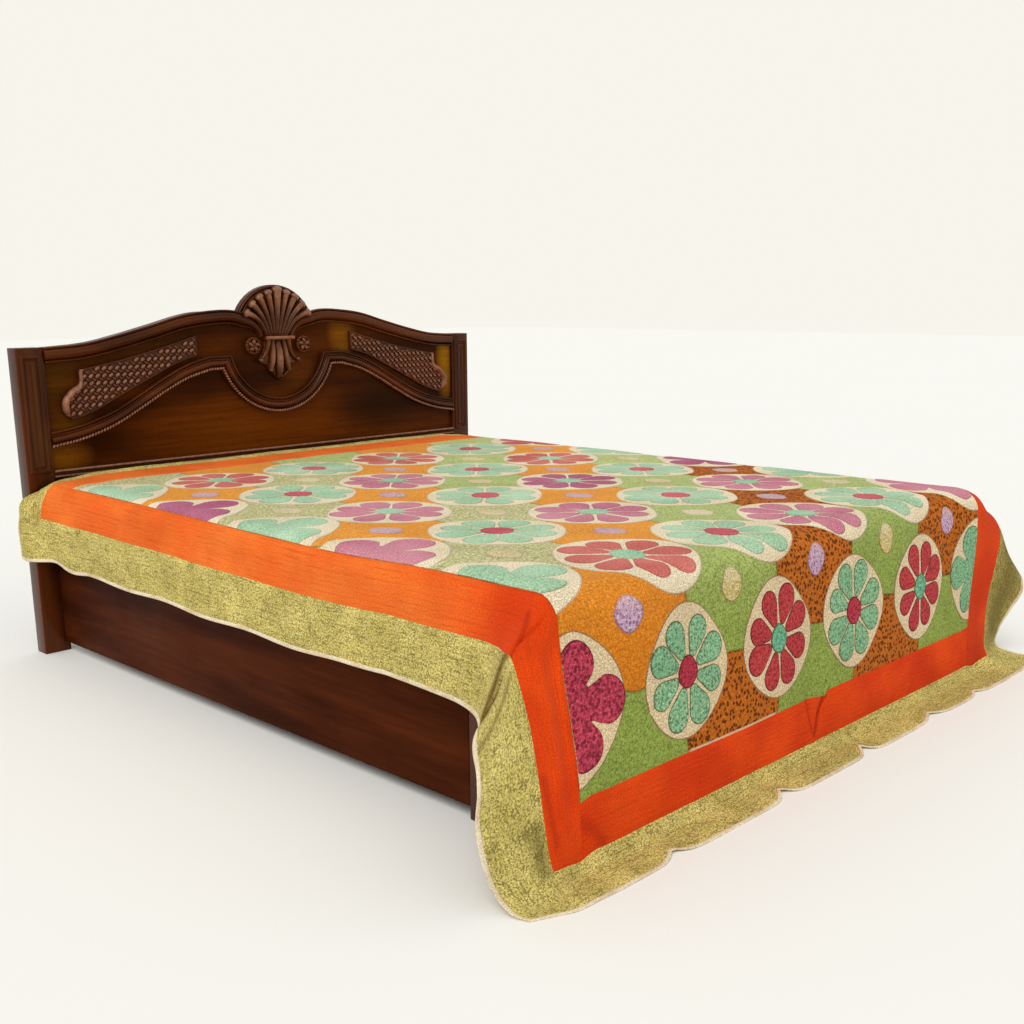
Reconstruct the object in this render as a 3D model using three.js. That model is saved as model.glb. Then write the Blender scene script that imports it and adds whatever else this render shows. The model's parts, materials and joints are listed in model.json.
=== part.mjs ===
// Applique bedspread draped over its bed. Millimetres, +Z up, head of the bed at +Y.
// The cover is one patchwork field with an orange border, an olive border and a
// cream binding. It is tucked behind the mattress at the head, hangs over the two
// sides and falls to the floor at the foot, where its corners stand out in folds.

import * as THREE from "three";

// ---------------------------------------------------------------- driving sizes

// Cloth, measured flat: u across from the middle line, v from the head hem to the foot hem.
const CLOTH_THICKNESS = 3;
const FIELD_HALF_WIDTH = 862.5;
const FIELD_LENGTH = 2326;
const ORANGE_WIDTH = 115;
const OLIVE_WIDTH = 125;
const FOOT_OLIVE_WIDTH = 109;
const BINDING_WIDTH = 10;
const PIECE_GAP = 0.3;

const U_FIELD = FIELD_HALF_WIDTH;
const U_SEAM = U_FIELD + ORANGE_WIDTH;
const U_BINDING = U_SEAM + OLIVE_WIDTH;
const U_HEM = U_BINDING + BINDING_WIDTH;
const V_BINDING = BINDING_WIDTH;
const V_OLIVE = V_BINDING + OLIVE_WIDTH;
const V_FIELD = V_OLIVE + ORANGE_WIDTH;
const V_FIELD_END = V_FIELD + FIELD_LENGTH;
const V_ORANGE_END = V_FIELD_END + ORANGE_WIDTH;
const V_OLIVE_END = V_ORANGE_END + FOOT_OLIVE_WIDTH;
const V_HEM = V_OLIVE_END + BINDING_WIDTH;

// How the cloth lies. Y is 0 at the front face of the headboard.
const TOP_HEIGHT = 539;
const SIDE_OUT = 885;
const SIDE_BEND = 50;
const SIDE_FLARE = 0.03;
const FIELD_START_Y = -174;
const FOOT_BEND_Y = -2070;
const FOOT_BEND = 60;
const FOOT_LEAN = THREE.MathUtils.degToRad(4);
const FLOOR_BEND = 36;
const TUCK_V = 108;
const TUCK_BEND = 20;
// The top is a little higher by the head, where it rolls over into the tuck; both fade towards the edges.
const HEAD_LIFT = { height: 10, fade: [110, 330] };
const HEAD_ROLL = { height: 9, reach: 20, unevenness: 0.35, length: 74 };
const TOP_EDGE_FADE = [700, 840];
const TOP_SWELL = { height: 2.5, head: [120, 300], foot: [1980, 2120], across: 190, along: 230, shift: 0.4 };
// The tucked part spreads outward towards the corners.
const TUCK_SPREAD = { out: 31, across: [600, 835], along: [0, 100] };
// The left side lies a little further over along the middle of the bed.
const SIDE_SLIP = { reach: 260, start: [300, 1500], end: [1500, 1850] };
// The foot drop is drawn up towards the corners, and waves a little in between.
const FOOT_EASE = { across: [620, 900], start: [2000, 2220], end: [2240, 2560] };
const FOOT_WAVE = {
  depth: 4,
  edge: [740, 900],
  start: [2200, 2400],
  end: [2560, 2690],
  across: 120,
  shift: 1.1,
  along: 260,
  lean: 500,
};
// The hanging sides wave along the hem, more slowly in and out than up and down.
const SIDE_WAVE = { out: 3, up: 3, start: [200, 400], end: [1500, 1700], flutter: 83, share: 0.7, ripple: 61 };

// Bed.
const BED_HALF_WIDTH = 915;
const POST_WIDTH = 84;
const POST_DEPTH = 57;
const POST_HEIGHT = 935;
const RAIL_OUT = 848;
const RAIL_THICKNESS = 32;
const RAIL_BOTTOM = 30;
const RAIL_TOP = 310;
const FOOT_POST_WIDTH = 224;
const FOOT_END_Y = -2060;
const PLATFORM_THICKNESS = 15;
const MATTRESS_HALF_WIDTH = 878;
const MATTRESS_HEAD_Y = -40;
const MATTRESS_FOOT_Y = -2100;
const MATTRESS_CORNER = 150;
const MATTRESS_EDGE = 58;
const MATTRESS_CLEARANCE = 0.5;

// Head corner: where six lines along the cloth lie (out, along, up). It is tucked before the post,
// turns round it, folds over a ridge and hangs outside it.
const HEAD_CORNER = [
  {
    v: 0,
    field: [891, -17, 449],
    turn: [912, -14, 457],
    edge: [921, 12, 461],
    ridge: [923, 40, 460],
    seam: [930, 54, 430],
    hem: [933, 58, 300],
  },
  {
    v: 50,
    field: [878, -16, 494],
    turn: [907, -17, 501],
    edge: [926, 1, 498],
    ridge: [938, 19, 473],
    seam: [939, 21, 436],
    hem: [936, 19, 298],
  },
  {
    v: 100,
    field: [861, -29, 531],
    turn: [884, -25, 519],
    edge: [901, -22, 496],
    ridge: [915, -21, 467],
    seam: [918, -18, 434],
    hem: [923, -20, 299],
  },
  {
    v: 135,
    field: [861, -50, 534],
    turn: [880, -44, 515],
    edge: [892, -40, 492],
    ridge: [900, -37, 464],
    seam: [905, -34, 433],
    hem: [912, -39, 300],
  },
  {
    v: 190,
    field: [861, -110, 533],
    turn: [878, -104, 513],
    edge: [887, -98, 490],
    ridge: [890, -94, 462],
    seam: [893, -92, 429],
    hem: [900, -98, 304],
  },
  {
    v: 250,
    field: [861, -173, 532],
    turn: [878, -171, 513],
    edge: [886, -168, 489],
    ridge: [888, -166, 461],
    seam: [890, -165, 426],
    hem: [895, -164, 286],
  },
];

// Foot corners: where the olive seam and the hem lie, and how far the border folds in between them.
const FOOT_CORNER_LEFT = [
  { v: 1850, seam: [889, -1774, 420], hem: [896, -1774, 282], tuck: 0 },
  { v: 1950, seam: [893, -1874, 422], hem: [908, -1872, 282], tuck: 0 },
  { v: 2030, seam: [905, -1953, 426], hem: [938, -1948, 284], tuck: 0 },
  { v: 2090, seam: [926, -2006, 430], hem: [974, -1996, 286], tuck: 0 },
  { v: 2130, seam: [947, -2038, 433], hem: [999, -2022, 286], tuck: 0 },
  { v: 2170, seam: [960, -2062, 437], hem: [1018, -2032, 276], tuck: 8 },
  { v: 2220, seam: [970, -2082, 432], hem: [1036, -2044, 268], tuck: 14 },
  { v: 2270, seam: [975, -2097, 412], hem: [1062, -2073, 266], tuck: 10 },
  { v: 2330, seam: [977, -2114, 376], hem: [1086, -2104, 258], tuck: 4 },
  { v: 2400, seam: [974, -2130, 318], hem: [1100, -2121, 222], tuck: 0 },
  { v: 2500, seam: [966, -2143, 222], hem: [1112, -2128, 165], tuck: 0 },
  { v: 2600, seam: [957, -2152, 122], hem: [1110, -2142, 95], tuck: 0 },
  { v: 2691, seam: [950, -2168, 32], hem: [1095, -2157, 36], tuck: 0 },
  { v: 2750, seam: [962, -2210, 3], hem: [1088, -2190, 8], tuck: 0 },
  { v: 2810, seam: [985, -2262, 1.5], hem: [1074, -2226, 1.5], tuck: 0 },
];
const FOOT_CORNER_RIGHT = [
  { v: 1850, seam: [889, -1774, 424], hem: [896, -1774, 288], tuck: 0 },
  { v: 1950, seam: [893, -1874, 424], hem: [906, -1872, 286], tuck: 0 },
  { v: 2030, seam: [905, -1958, 426], hem: [932, -1955, 286], tuck: 0 },
  { v: 2090, seam: [930, -2020, 430], hem: [970, -2015, 286], tuck: 0 },
  { v: 2130, seam: [955, -2060, 436], hem: [1005, -2056, 284], tuck: 0 },
  { v: 2170, seam: [975, -2095, 442], hem: [1042, -2088, 278], tuck: 10 },
  { v: 2220, seam: [990, -2130, 440], hem: [1080, -2122, 272], tuck: 18 },
  { v: 2270, seam: [994, -2152, 418], hem: [1108, -2152, 266], tuck: 10 },
  { v: 2330, seam: [990, -2162, 378], hem: [1130, -2178, 250], tuck: 4 },
  { v: 2400, seam: [982, -2160, 318], hem: [1135, -2186, 205], tuck: 0 },
  { v: 2500, seam: [974, -2150, 222], hem: [1118, -2162, 142], tuck: 0 },
  { v: 2600, seam: [970, -2148, 122], hem: [1108, -2136, 78], tuck: 0 },
  { v: 2691, seam: [980, -2160, 30], hem: [1125, -2130, 22], tuck: 0 },
  { v: 2750, seam: [1000, -2206, 3], hem: [1150, -2175, 4], tuck: 0 },
  { v: 2810, seam: [1005, -2262, 1.5], hem: [1160, -2235, 1.5], tuck: 0 },
];
// A fold runs from the olive seam down to the hem at each foot corner: where its crest and its valley
// meet the seam and the hem, how deep it is there, and how soon the cloth recovers past the valley.
const LEFT_FOLD = { crest: [2212, 2117], valley: [2215, 2200], depth: 28, recovers: 68 };
const RIGHT_FOLD = { crest: [2222, 2140], valley: [2226, 2212], depth: 12, recovers: 70 };
const FOLD_STEEPNESS = 0.55;
const FOLD_PUSH = [-0.69, 0.7];
const SIDES = {
  left: {
    sign: -1,
    corner: FOOT_CORNER_LEFT,
    fold: LEFT_FOLD,
    ease: 35,
    slip: 12,
    slide: 0,
    wave: 430,
    phase: 0.6,
  },
  right: {
    sign: 1,
    corner: FOOT_CORNER_RIGHT,
    fold: RIGHT_FOLD,
    ease: -30,
    slip: 0,
    slide: 35,
    wave: 510,
    phase: 2.1,
  },
};
// By the right foot corner the cloth has slid across, which carries the orange border inward.
const SLIDE = { across: 600, along: [1950, 2150] };
const HEAD_BLEND = [380, 440];
const FOOT_BLEND_V = 1700;
// At a foot corner the rounded mattress edge stops short of the bend, and the border straightens out.
const CORNER_EDGE = { stop: 76, straightens: [2050, 2220] };
const GUIDE_U = { inner: 700, top: 780, bend: 835, turn: 888, edge: 913.5, ridge: 942 };

// Creases pressed into the cloth: ends in flat sizes, depth (down if above 0) and half width.
const CREASES = [
  { from: [50, 2545], to: [-12, 2666], depth: 6, reach: 14 },
  { from: [-50, 2560], to: [-22, 2662], depth: 3, reach: 12 },
  { from: [-553, 2418], to: [-644, 2461], depth: 3, reach: 12 },
  { from: [158, 2419], to: [105, 2501], depth: 3, reach: 12 },
];

const CREASE_END = [2610, 2665];

// ---------------------------------------------------------------- small helpers

function smooth(start, end, x) {
  return THREE.MathUtils.smoothstep(x, start, end);
}

// A smooth curve through points, one for each knot, evaluated at x.
function throughPoints(knots, points, x) {
  let k = 0;
  while (k < knots.length - 2 && x > knots[k + 1]) k += 1;
  const slope = (i) => {
    const first = Math.max(i - 1, 0);
    const last = Math.min(i + 1, knots.length - 1);
    const before = knots[i] - knots[first];
    const after = knots[last] - knots[i];
    const rise = (a, b) => points[b].clone().sub(points[a]).divideScalar(knots[b] - knots[a]);
    if (before === 0) return rise(i, last);
    if (after === 0) return rise(first, i);
    return rise(first, i)
      .multiplyScalar(after)
      .addScaledVector(rise(i, last), before)
      .divideScalar(before + after);
  };
  const span = knots[k + 1] - knots[k];
  const t = (x - knots[k]) / span;
  const t2 = t * t;
  const t3 = t2 * t;
  return points[k]
    .clone()
    .multiplyScalar(2 * t3 - 3 * t2 + 1)
    .addScaledVector(slope(k), (t3 - 2 * t2 + t) * span)
    .addScaledVector(points[k + 1], 3 * t2 - 2 * t3)
    .addScaledVector(slope(k + 1), (t3 - t2) * span);
}

// ---------------------------------------------------------------- how the cloth lies

// Across the bed: flat, round the mattress edge, then down.
function sideProfile(a) {
  const past = Math.max(a - (SIDE_OUT - SIDE_BEND), 0);
  const turn = Math.min(past / SIDE_BEND, Math.PI / 2);
  const hang = Math.max(past - (SIDE_BEND * Math.PI) / 2, 0);
  const round = past > 0 ? SIDE_OUT - SIDE_BEND + SIDE_BEND * Math.sin(turn) : a;
  return { out: round + SIDE_FLARE * hang, drop: SIDE_BEND * (1 - Math.cos(turn)) + hang };
}

// Along the bed: tucked down behind the mattress, flat, round the foot end, down and out on the floor.
function lengthProfile(v) {
  if (v < TUCK_V) {
    const turn = Math.min((TUCK_V - v) / TUCK_BEND, Math.PI / 2);
    const down = Math.max(TUCK_V - v - (TUCK_BEND * Math.PI) / 2, 0);
    const start = FIELD_START_Y + V_FIELD - TUCK_V;
    return { y: start + TUCK_BEND * Math.sin(turn), drop: TUCK_BEND * (1 - Math.cos(turn)) + down };
  }
  const fullTurn = Math.PI / 2 - FOOT_LEAN;
  const flatEnd = V_FIELD + FIELD_START_Y - FOOT_BEND_Y;
  let rest = v - flatEnd;
  if (rest <= 0) return { y: FIELD_START_Y - (v - V_FIELD), drop: 0 };
  let turn = Math.min(rest / FOOT_BEND, fullTurn);
  let y = FOOT_BEND_Y - FOOT_BEND * Math.sin(turn);
  let drop = FOOT_BEND * (1 - Math.cos(turn));
  const bends = (FOOT_BEND + FLOOR_BEND) * (1 - Math.cos(fullTurn));
  const straight = (TOP_HEIGHT - CLOTH_THICKNESS / 2 - bends) / Math.sin(fullTurn);
  rest = Math.max(rest - FOOT_BEND * fullTurn, 0);
  const hang = Math.min(rest, straight);
  y -= hang * Math.cos(fullTurn);
  drop += hang * Math.sin(fullTurn);
  rest = Math.max(rest - straight, 0);
  turn = Math.min(rest / FLOOR_BEND, fullTurn);
  y -= FLOOR_BEND * (Math.sin(fullTurn) - Math.sin(fullTurn - turn));
  drop += FLOOR_BEND * (Math.cos(fullTurn - turn) - Math.cos(fullTurn));
  return { y: y - Math.max(rest - FLOOR_BEND * fullTurn, 0), drop };
}

// 0 before the first of two places, 1 after the second, and smooth in between.
function between([start, end], x) {
  return smooth(start, end, x);
}

// The plain drape of one side, before its corners: out from the middle, along, up.
function plainDrape(side, a, v) {
  const slip = side.slip * smooth(U_FIELD - SIDE_SLIP.reach, U_FIELD, a) * between(SIDE_SLIP.start, v);
  const across = sideProfile(a + slip * (1 - between(SIDE_SLIP.end, v)));
  const along = lengthProfile(v);
  const drawnUp = between(FOOT_EASE.start, v) * (1 - between(FOOT_EASE.end, v));
  const ease = side.ease * between(FOOT_EASE.across, a) * drawnUp;
  const onTop = 1 - between(TOP_EDGE_FADE, a);
  const lift = HEAD_LIFT.height * onTop * (1 - between(HEAD_LIFT.fade, v));
  const rolled = Math.exp(-(((v - TUCK_V) / HEAD_ROLL.reach) ** 2));
  const uneven = 1 + HEAD_ROLL.unevenness * Math.sin(a / HEAD_ROLL.length + side.phase);
  const roll = HEAD_ROLL.height * onTop * rolled * uneven;
  const low = smooth(GUIDE_U.edge, U_HEM, a) * between(SIDE_WAVE.start, v) * (1 - between(SIDE_WAVE.end, v));
  const slow = Math.sin((v / side.wave) * 2 * Math.PI + side.phase);
  const wave = (slow + SIDE_WAVE.share * Math.sin(v / SIDE_WAVE.flutter + side.phase)) / (1 + SIDE_WAVE.share);
  const spread = TUCK_SPREAD.out * between(TUCK_SPREAD.across, a) * (1 - between(TUCK_SPREAD.along, v));
  const out = across.out + spread + SIDE_WAVE.out * (1 + wave) * low;
  const hemWave = SIDE_WAVE.up * low * Math.sin(v / SIDE_WAVE.ripple + 2 * side.phase);
  const up = TOP_HEIGHT + lift + roll - across.drop - along.drop + hemWave;
  return new THREE.Vector3(out, along.y + ease, up);
}

// One line of a corner table, followed along v. The row before the table joins the plain drape.
function alongTable(side, rows, column, a, joinV, v) {
  const join = [...joinV].map((row) => ({ v: row, at: plainDrape(side, a, row) }));
  const points = rows.map((row) => ({ v: row.v, at: new THREE.Vector3(...row[column]) }));
  const all = [...join, ...points].sort((p, q) => p.v - q.v);
  return throughPoints(all.map((p) => p.v), all.map((p) => p.at), v);
}

function headCorner(side, a, v) {
  const line = (column, at) => alongTable(side, HEAD_CORNER, column, at, HEAD_BLEND, v);
  const knots = [
    GUIDE_U.inner,
    GUIDE_U.top,
    GUIDE_U.bend,
    U_FIELD,
    GUIDE_U.turn,
    GUIDE_U.edge,
    GUIDE_U.ridge,
    U_SEAM,
    U_HEM,
  ];
  const points = [
    ...knots.slice(0, 3).map((at) => plainDrape(side, at, v)),
    line("field", U_FIELD),
    line("turn", GUIDE_U.turn),
    line("edge", GUIDE_U.edge),
    line("ridge", GUIDE_U.ridge),
    line("seam", U_SEAM),
    line("hem", U_HEM),
  ];
  return throughPoints(knots, points, a);
}

function footCorner(side, a, v) {
  const middle = (U_SEAM + U_HEM) / 2;
  const join = [FOOT_BLEND_V];
  const seam = alongTable(side, side.corner, "seam", U_SEAM, join, v);
  const hem = alongTable(side, side.corner, "hem", U_HEM, join, v);
  const tucks = side.corner.map((row) => new THREE.Vector3(row.tuck, 0, 0));
  const tuckAt = [FOOT_BLEND_V, ...side.corner.map((row) => row.v)];
  const tuck = throughPoints(tuckAt, [new THREE.Vector3(), ...tucks], v);
  const field = plainDrape(side, U_FIELD, v);
  const share = (GUIDE_U.edge - U_FIELD) / (U_SEAM - U_FIELD);
  const straight = field.clone().lerp(seam, share);
  const topV = Math.min(v, FIELD_START_Y + V_FIELD - FOOT_BEND_Y - CORNER_EDGE.stop);
  const rounded = plainDrape(side, GUIDE_U.edge, topV).sub(plainDrape(side, U_FIELD, topV)).add(field);
  const edge = rounded.lerp(straight, between(CORNER_EDGE.straightens, v));
  const knots = [
    GUIDE_U.inner,
    GUIDE_U.top,
    GUIDE_U.bend,
    U_FIELD,
    GUIDE_U.edge,
    U_SEAM,
    middle,
    U_HEM,
  ];
  const points = [
    ...knots.slice(0, 3).map((at) => plainDrape(side, at, v)),
    field,
    edge,
    seam,
    seam.clone().add(hem).multiplyScalar(0.5).sub(tuck),
    hem,
  ];
  return throughPoints(knots, points, a);
}

// How far the fold at a foot corner pushes the cloth back.
function foldDepth({ crest, valley, depth, recovers }, a, v) {
  const share = THREE.MathUtils.clamp((a - U_SEAM) / (U_HEM - U_SEAM), 0, 1);
  const from = THREE.MathUtils.lerp(...crest, share);
  const to = THREE.MathUtils.lerp(...valley, share);
  const pushed = smooth(from, from + FOLD_STEEPNESS * (to - from), v);
  return depth * share * pushed * (1 - smooth(to, to + recovers, v));
}

function draped(u, v) {
  const side = u < 0 ? SIDES.left : SIDES.right;
  const flat = Math.abs(u);
  const slid = smooth(SLIDE.across, U_FIELD, flat) * (1 - smooth(U_FIELD, U_SEAM, flat));
  const a = flat - side.slide * slid * between(SLIDE.along, v);
  let point;
  if (a > GUIDE_U.top && v > FOOT_BLEND_V) point = footCorner(side, a, v);
  else if (a > GUIDE_U.top && v < HEAD_BLEND[1]) point = headCorner(side, a, v);
  else point = plainDrape(side, a, v);
  const swell = TOP_SWELL.height * (1 - between(TOP_EDGE_FADE, a));
  const inside = between(TOP_SWELL.head, v) * (1 - between(TOP_SWELL.foot, v));
  const hills = Math.sin(u / TOP_SWELL.across + TOP_SWELL.shift) * Math.cos(v / TOP_SWELL.along);
  point.z += swell * inside * (1 + hills);
  const drop = (1 - between(FOOT_WAVE.edge, a)) * between(FOOT_WAVE.start, v) * (1 - between(FOOT_WAVE.end, v));
  const leaning = Math.cos(v / FOOT_WAVE.along + u / FOOT_WAVE.lean);
  point.y -= FOOT_WAVE.depth * drop * (1 + Math.sin(u / FOOT_WAVE.across + FOOT_WAVE.shift) * leaning);
  const fold = foldDepth(side.fold, a, v);
  point.x += FOLD_PUSH[0] * fold;
  point.y += FOLD_PUSH[1] * fold;
  point.x *= side.sign;
  point.z = Math.max(point.z, CLOTH_THICKNESS / 2);
  return point;
}

function creaseDepth(u, v) {
  let depth = 0;
  for (const crease of CREASES) {
    const start = new THREE.Vector2(...crease.from);
    const run = new THREE.Vector2(...crease.to).sub(start);
    const here = new THREE.Vector2(u, v).sub(start);
    const share = THREE.MathUtils.clamp(here.dot(run) / run.lengthSq(), 0, 1);
    const distance = here.sub(run.multiplyScalar(share)).length();
    depth += crease.depth * (1 - smooth(0, crease.reach, distance));
  }
  return depth * (1 - between(CREASE_END, v));
}

function clothNormal(u, v) {
  const step = 1;
  const across = draped(u + step, v).sub(draped(u - step, v));
  const along = draped(u, v + step).sub(draped(u, v - step));
  return along.cross(across).normalize();
}

function onCloth(u, v, height) {
  return draped(u, v).addScaledVector(clothNormal(u, v), height - creaseDepth(u, v));
}

// ---------------------------------------------------------------- cloth pieces

const EDGE_U_STATIONS = [720, 790, 820, 842, U_FIELD, 880, 896, 913.5, 927, 942, 958, U_SEAM, 1012, 1045, 1075];
const MIDDLE_U_STATIONS = [-600, -400, -200, -62, -40, -15, 25, 55, 110, 200, 400, 600];
const U_STATIONS = [
  ...EDGE_U_STATIONS.map((u) => -u).reverse(),
  ...MIDDLE_U_STATIONS,
  ...EDGE_U_STATIONS,
];
const HEAD_V_STATIONS = [25, 45, 62, 77, 88, 98, 108, V_OLIVE, 160, 190, V_FIELD, 300, 400];
const TOP_V_STATIONS = [600, 850, 1100, 1350, 1600, 1750, 1850, 1950, 2030, 2080, 2115, 2140];
const DROP_V_STATIONS = [2165, 2188, 2208, 2232, 2270, 2330, 2400, 2460, 2520, V_FIELD_END];
const FLOOR_V_STATIONS = [2620, 2660, V_ORANGE_END, 2708, 2735, 2770];
const V_STATIONS = [...HEAD_V_STATIONS, ...TOP_V_STATIONS, ...DROP_V_STATIONS, ...FLOOR_V_STATIONS];

function stationsBetween(stations, from, to) {
  return [
    from + PIECE_GAP / 2,
    ...stations.filter((at) => at > from + 1 && at < to - 1),
    to - PIECE_GAP / 2,
  ];
}

// One cut piece of cloth between two u and two v lines, as a closed sheet.
function sheetGeometry(uFrom, uTo, vFrom, vTo) {
  const us = stationsBetween(U_STATIONS, uFrom, uTo);
  const vs = stationsBetween(V_STATIONS, vFrom, vTo);
  const positions = [];
  for (const height of [CLOTH_THICKNESS / 2, -CLOTH_THICKNESS / 2]) {
    for (const v of vs) {
      for (const u of us) positions.push(...onCloth(u, v, height).toArray());
    }
  }
  const layer = us.length * vs.length;
  const at = (i, j, under) => j * us.length + i + (under ? layer : 0);
  const faces = [];
  const quad = (a, b, c, d) => faces.push(a, b, c, a, c, d);
  for (let j = 0; j < vs.length - 1; j += 1) {
    for (let i = 0; i < us.length - 1; i += 1) {
      quad(at(i, j), at(i, j + 1), at(i + 1, j + 1), at(i + 1, j));
      quad(at(i, j, true), at(i + 1, j, true), at(i + 1, j + 1, true), at(i, j + 1, true));
    }
    quad(at(0, j), at(0, j, true), at(0, j + 1, true), at(0, j + 1));
    const last = us.length - 1;
    quad(at(last, j), at(last, j + 1), at(last, j + 1, true), at(last, j, true));
  }
  for (let i = 0; i < us.length - 1; i += 1) {
    quad(at(i, 0), at(i + 1, 0), at(i + 1, 0, true), at(i, 0, true));
    const last = vs.length - 1;
    quad(at(i, last), at(i, last, true), at(i + 1, last, true), at(i + 1, last));
  }
  const geometry = new THREE.BufferGeometry();
  geometry.setAttribute("position", new THREE.Float32BufferAttribute(positions, 3));
  geometry.setIndex(faces);
  geometry.computeVertexNormals();
  return geometry;
}

// The pieces as they are cut: side strips run the full length, end strips lie between them.
const CLOTH_PIECES = [
  { name: "patchwork_field", cloth: "field", u: [-U_FIELD, U_FIELD], v: [V_FIELD, V_FIELD_END] },
  { name: "orange_border_left", cloth: "orange", u: [-U_SEAM, -U_FIELD], v: [V_OLIVE, V_ORANGE_END] },
  { name: "orange_border_right", cloth: "orange", u: [U_FIELD, U_SEAM], v: [V_OLIVE, V_ORANGE_END] },
  { name: "orange_border_head", cloth: "orange", u: [-U_FIELD, U_FIELD], v: [V_OLIVE, V_FIELD] },
  { name: "orange_border_foot", cloth: "orange", u: [-U_FIELD, U_FIELD], v: [V_FIELD_END, V_ORANGE_END] },
  { name: "olive_border_left", cloth: "olive", u: [-U_BINDING, -U_SEAM], v: [V_BINDING, V_OLIVE_END] },
  { name: "olive_border_right", cloth: "olive", u: [U_SEAM, U_BINDING], v: [V_BINDING, V_OLIVE_END] },
  { name: "olive_border_head", cloth: "olive", u: [-U_SEAM, U_SEAM], v: [V_BINDING, V_OLIVE] },
  { name: "olive_border_foot", cloth: "olive", u: [-U_SEAM, U_SEAM], v: [V_ORANGE_END, V_OLIVE_END] },
  { name: "binding_left", cloth: "binding", u: [-U_HEM, -U_BINDING], v: [0, V_HEM] },
  { name: "binding_right", cloth: "binding", u: [U_BINDING, U_HEM], v: [0, V_HEM] },
  { name: "binding_head", cloth: "binding", u: [-U_BINDING, U_BINDING], v: [0, V_BINDING] },
  { name: "binding_foot", cloth: "binding", u: [-U_BINDING, U_BINDING], v: [V_OLIVE_END, V_HEM] },
];

const clothColours = { field: "#8fa860", orange: "#df531c", olive: "#b5ab60", binding: "#e9dcc0" };
const clothMaterials = Object.fromEntries(
  Object.entries(clothColours).map(([cloth, color]) => [
    cloth,
    new THREE.MeshStandardMaterial({ color, roughness: 0.9, metalness: 0 }),
  ]),
);
const wood = new THREE.MeshStandardMaterial({ color: "#3f1c0c", roughness: 0.3, metalness: 0 });
const carving = new THREE.MeshStandardMaterial({ color: "#552a16", roughness: 0.35, metalness: 0 });
const ticking = new THREE.MeshStandardMaterial({ color: "#ddd8cc", roughness: 0.95, metalness: 0 });

function clothPiece({ name, cloth, u, v }) {
  return named(new THREE.Mesh(sheetGeometry(u[0], u[1], v[0], v[1]), clothMaterials[cloth]), name);
}

function named(mesh, name) {
  mesh.name = name;
  return mesh;
}

// ---------------------------------------------------------------- bed

function block(name, material, x, y, z) {
  const mesh = new THREE.Mesh(new THREE.BoxGeometry(x[1] - x[0], y[1] - y[0], z[1] - z[0]), material);
  mesh.position.set((x[0] + x[1]) / 2, (y[0] + y[1]) / 2, (z[0] + z[1]) / 2);
  return named(mesh, name);
}

// A front view outline (x across, z up) made as thick as its y range.
function upright(name, material, shape, y) {
  const geometry = new THREE.ExtrudeGeometry(shape, {
    depth: y[1] - y[0],
    bevelEnabled: false,
    curveSegments: 8,
  });
  geometry.rotateX(Math.PI / 2);
  const mesh = new THREE.Mesh(geometry, material);
  mesh.position.y = y[1];
  return named(mesh, name);
}

function shapeThrough(points) {
  return new THREE.Shape(points.map(([x, z]) => new THREE.Vector2(x, z)));
}

// Moves a headboard piece aside: most in the middle, not at all beside the posts.
function setAside(mesh) {
  const place = mesh.geometry.attributes.position;
  for (let i = 0; i < place.count; i += 1) {
    const x = place.getX(i);
    place.setX(i, x + CARVING_ASIDE * (1 - (x / INSIDE) ** 2));
  }
  return mesh;
}

// Height of the headboard's top edge, from beside the shell out to the post.
const TOP_EDGE = [
  [150, 1031],
  [290, 1033],
  [370, 1022],
  [470, 996],
  [592, 966],
  [702, 944],
  [831, 935],
];
// The scroll that ends each top rail beside the shell: its outer and inner line.
const SCROLL_OUTER = [
  [54, 947],
  [60, 970],
  [76, 993],
  [102, 1013],
  [130, 1025],
];
const SCROLL_INNER = [
  [74, 947],
  [86, 961],
  [108, 973],
  [130, 979],
];
const TOP_RAIL_WIDTH = 50;
// The arched moulding: a round dip under the shell, then an S on each side.
const ARCH_DIP_RADIUS = 195;
const ARCH_DIP_CENTRE = 933;
const ARCH_SHOULDER = 888;
const ARCH_EDGE = [
  [275, 889],
  [360, 866],
  [440, 830],
  [535, 779],
  [625, 734],
  [735, 699],
  [831, 683],
];
const ARCH_WIDTH = 40;
const ROPE_WIDTH = 11;
const BOTTOM_MOULDING_Z = [543, 569];
const PANEL_BOTTOM = 280;
const PANEL_FRONT = 14;
const PANEL_BACK = 36;
const MOULDING_FRONT = -8;
const CARVING_FRONT = -18;
const LATTICE_FRONT = 4;
const INSIDE = BED_HALF_WIDTH - POST_WIDTH - PIECE_GAP;
// The middle of the carving lies this far to the right of the middle between the posts.
const CARVING_ASIDE = 11;
const MOULDING_DEPTH = [MOULDING_FRONT, PANEL_FRONT - PIECE_GAP];

function smoothLine(points, count) {
  const curve = new THREE.SplineCurve(points.map(([x, z]) => new THREE.Vector2(x, z)));
  return curve.getPoints(count).map((p) => [Math.min(p.x, INSIDE), p.y]);
}

function lowered(points, by) {
  return points.map(([x, z]) => [x, z - by]);
}

function mirrored(points) {
  return points.map(([x, z]) => [-x, z]).reverse();
}

function headPost(label, sign) {
  const x = [BED_HALF_WIDTH - POST_WIDTH, BED_HALF_WIDTH].map((at) => at * sign).sort((p, q) => p - q);
  const z = [562, 914];
  const margin = 9;
  const rim = 15;
  const rectangle = (inset) => [
    [x[0] + inset, z[0] + inset - margin],
    [x[1] - inset, z[0] + inset - margin],
    [x[1] - inset, z[1] - inset + margin],
    [x[0] + inset, z[1] - inset + margin],
  ];
  const frame = shapeThrough(rectangle(margin));
  frame.holes.push(shapeThrough(rectangle(margin + rim).reverse()));
  return [
    block(`head_post_${label}`, wood, x, [0, POST_DEPTH], [0, POST_HEIGHT]),
    upright(`post_frame_${label}`, carving, frame, [MOULDING_FRONT, -PIECE_GAP]),
  ];
}

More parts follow.
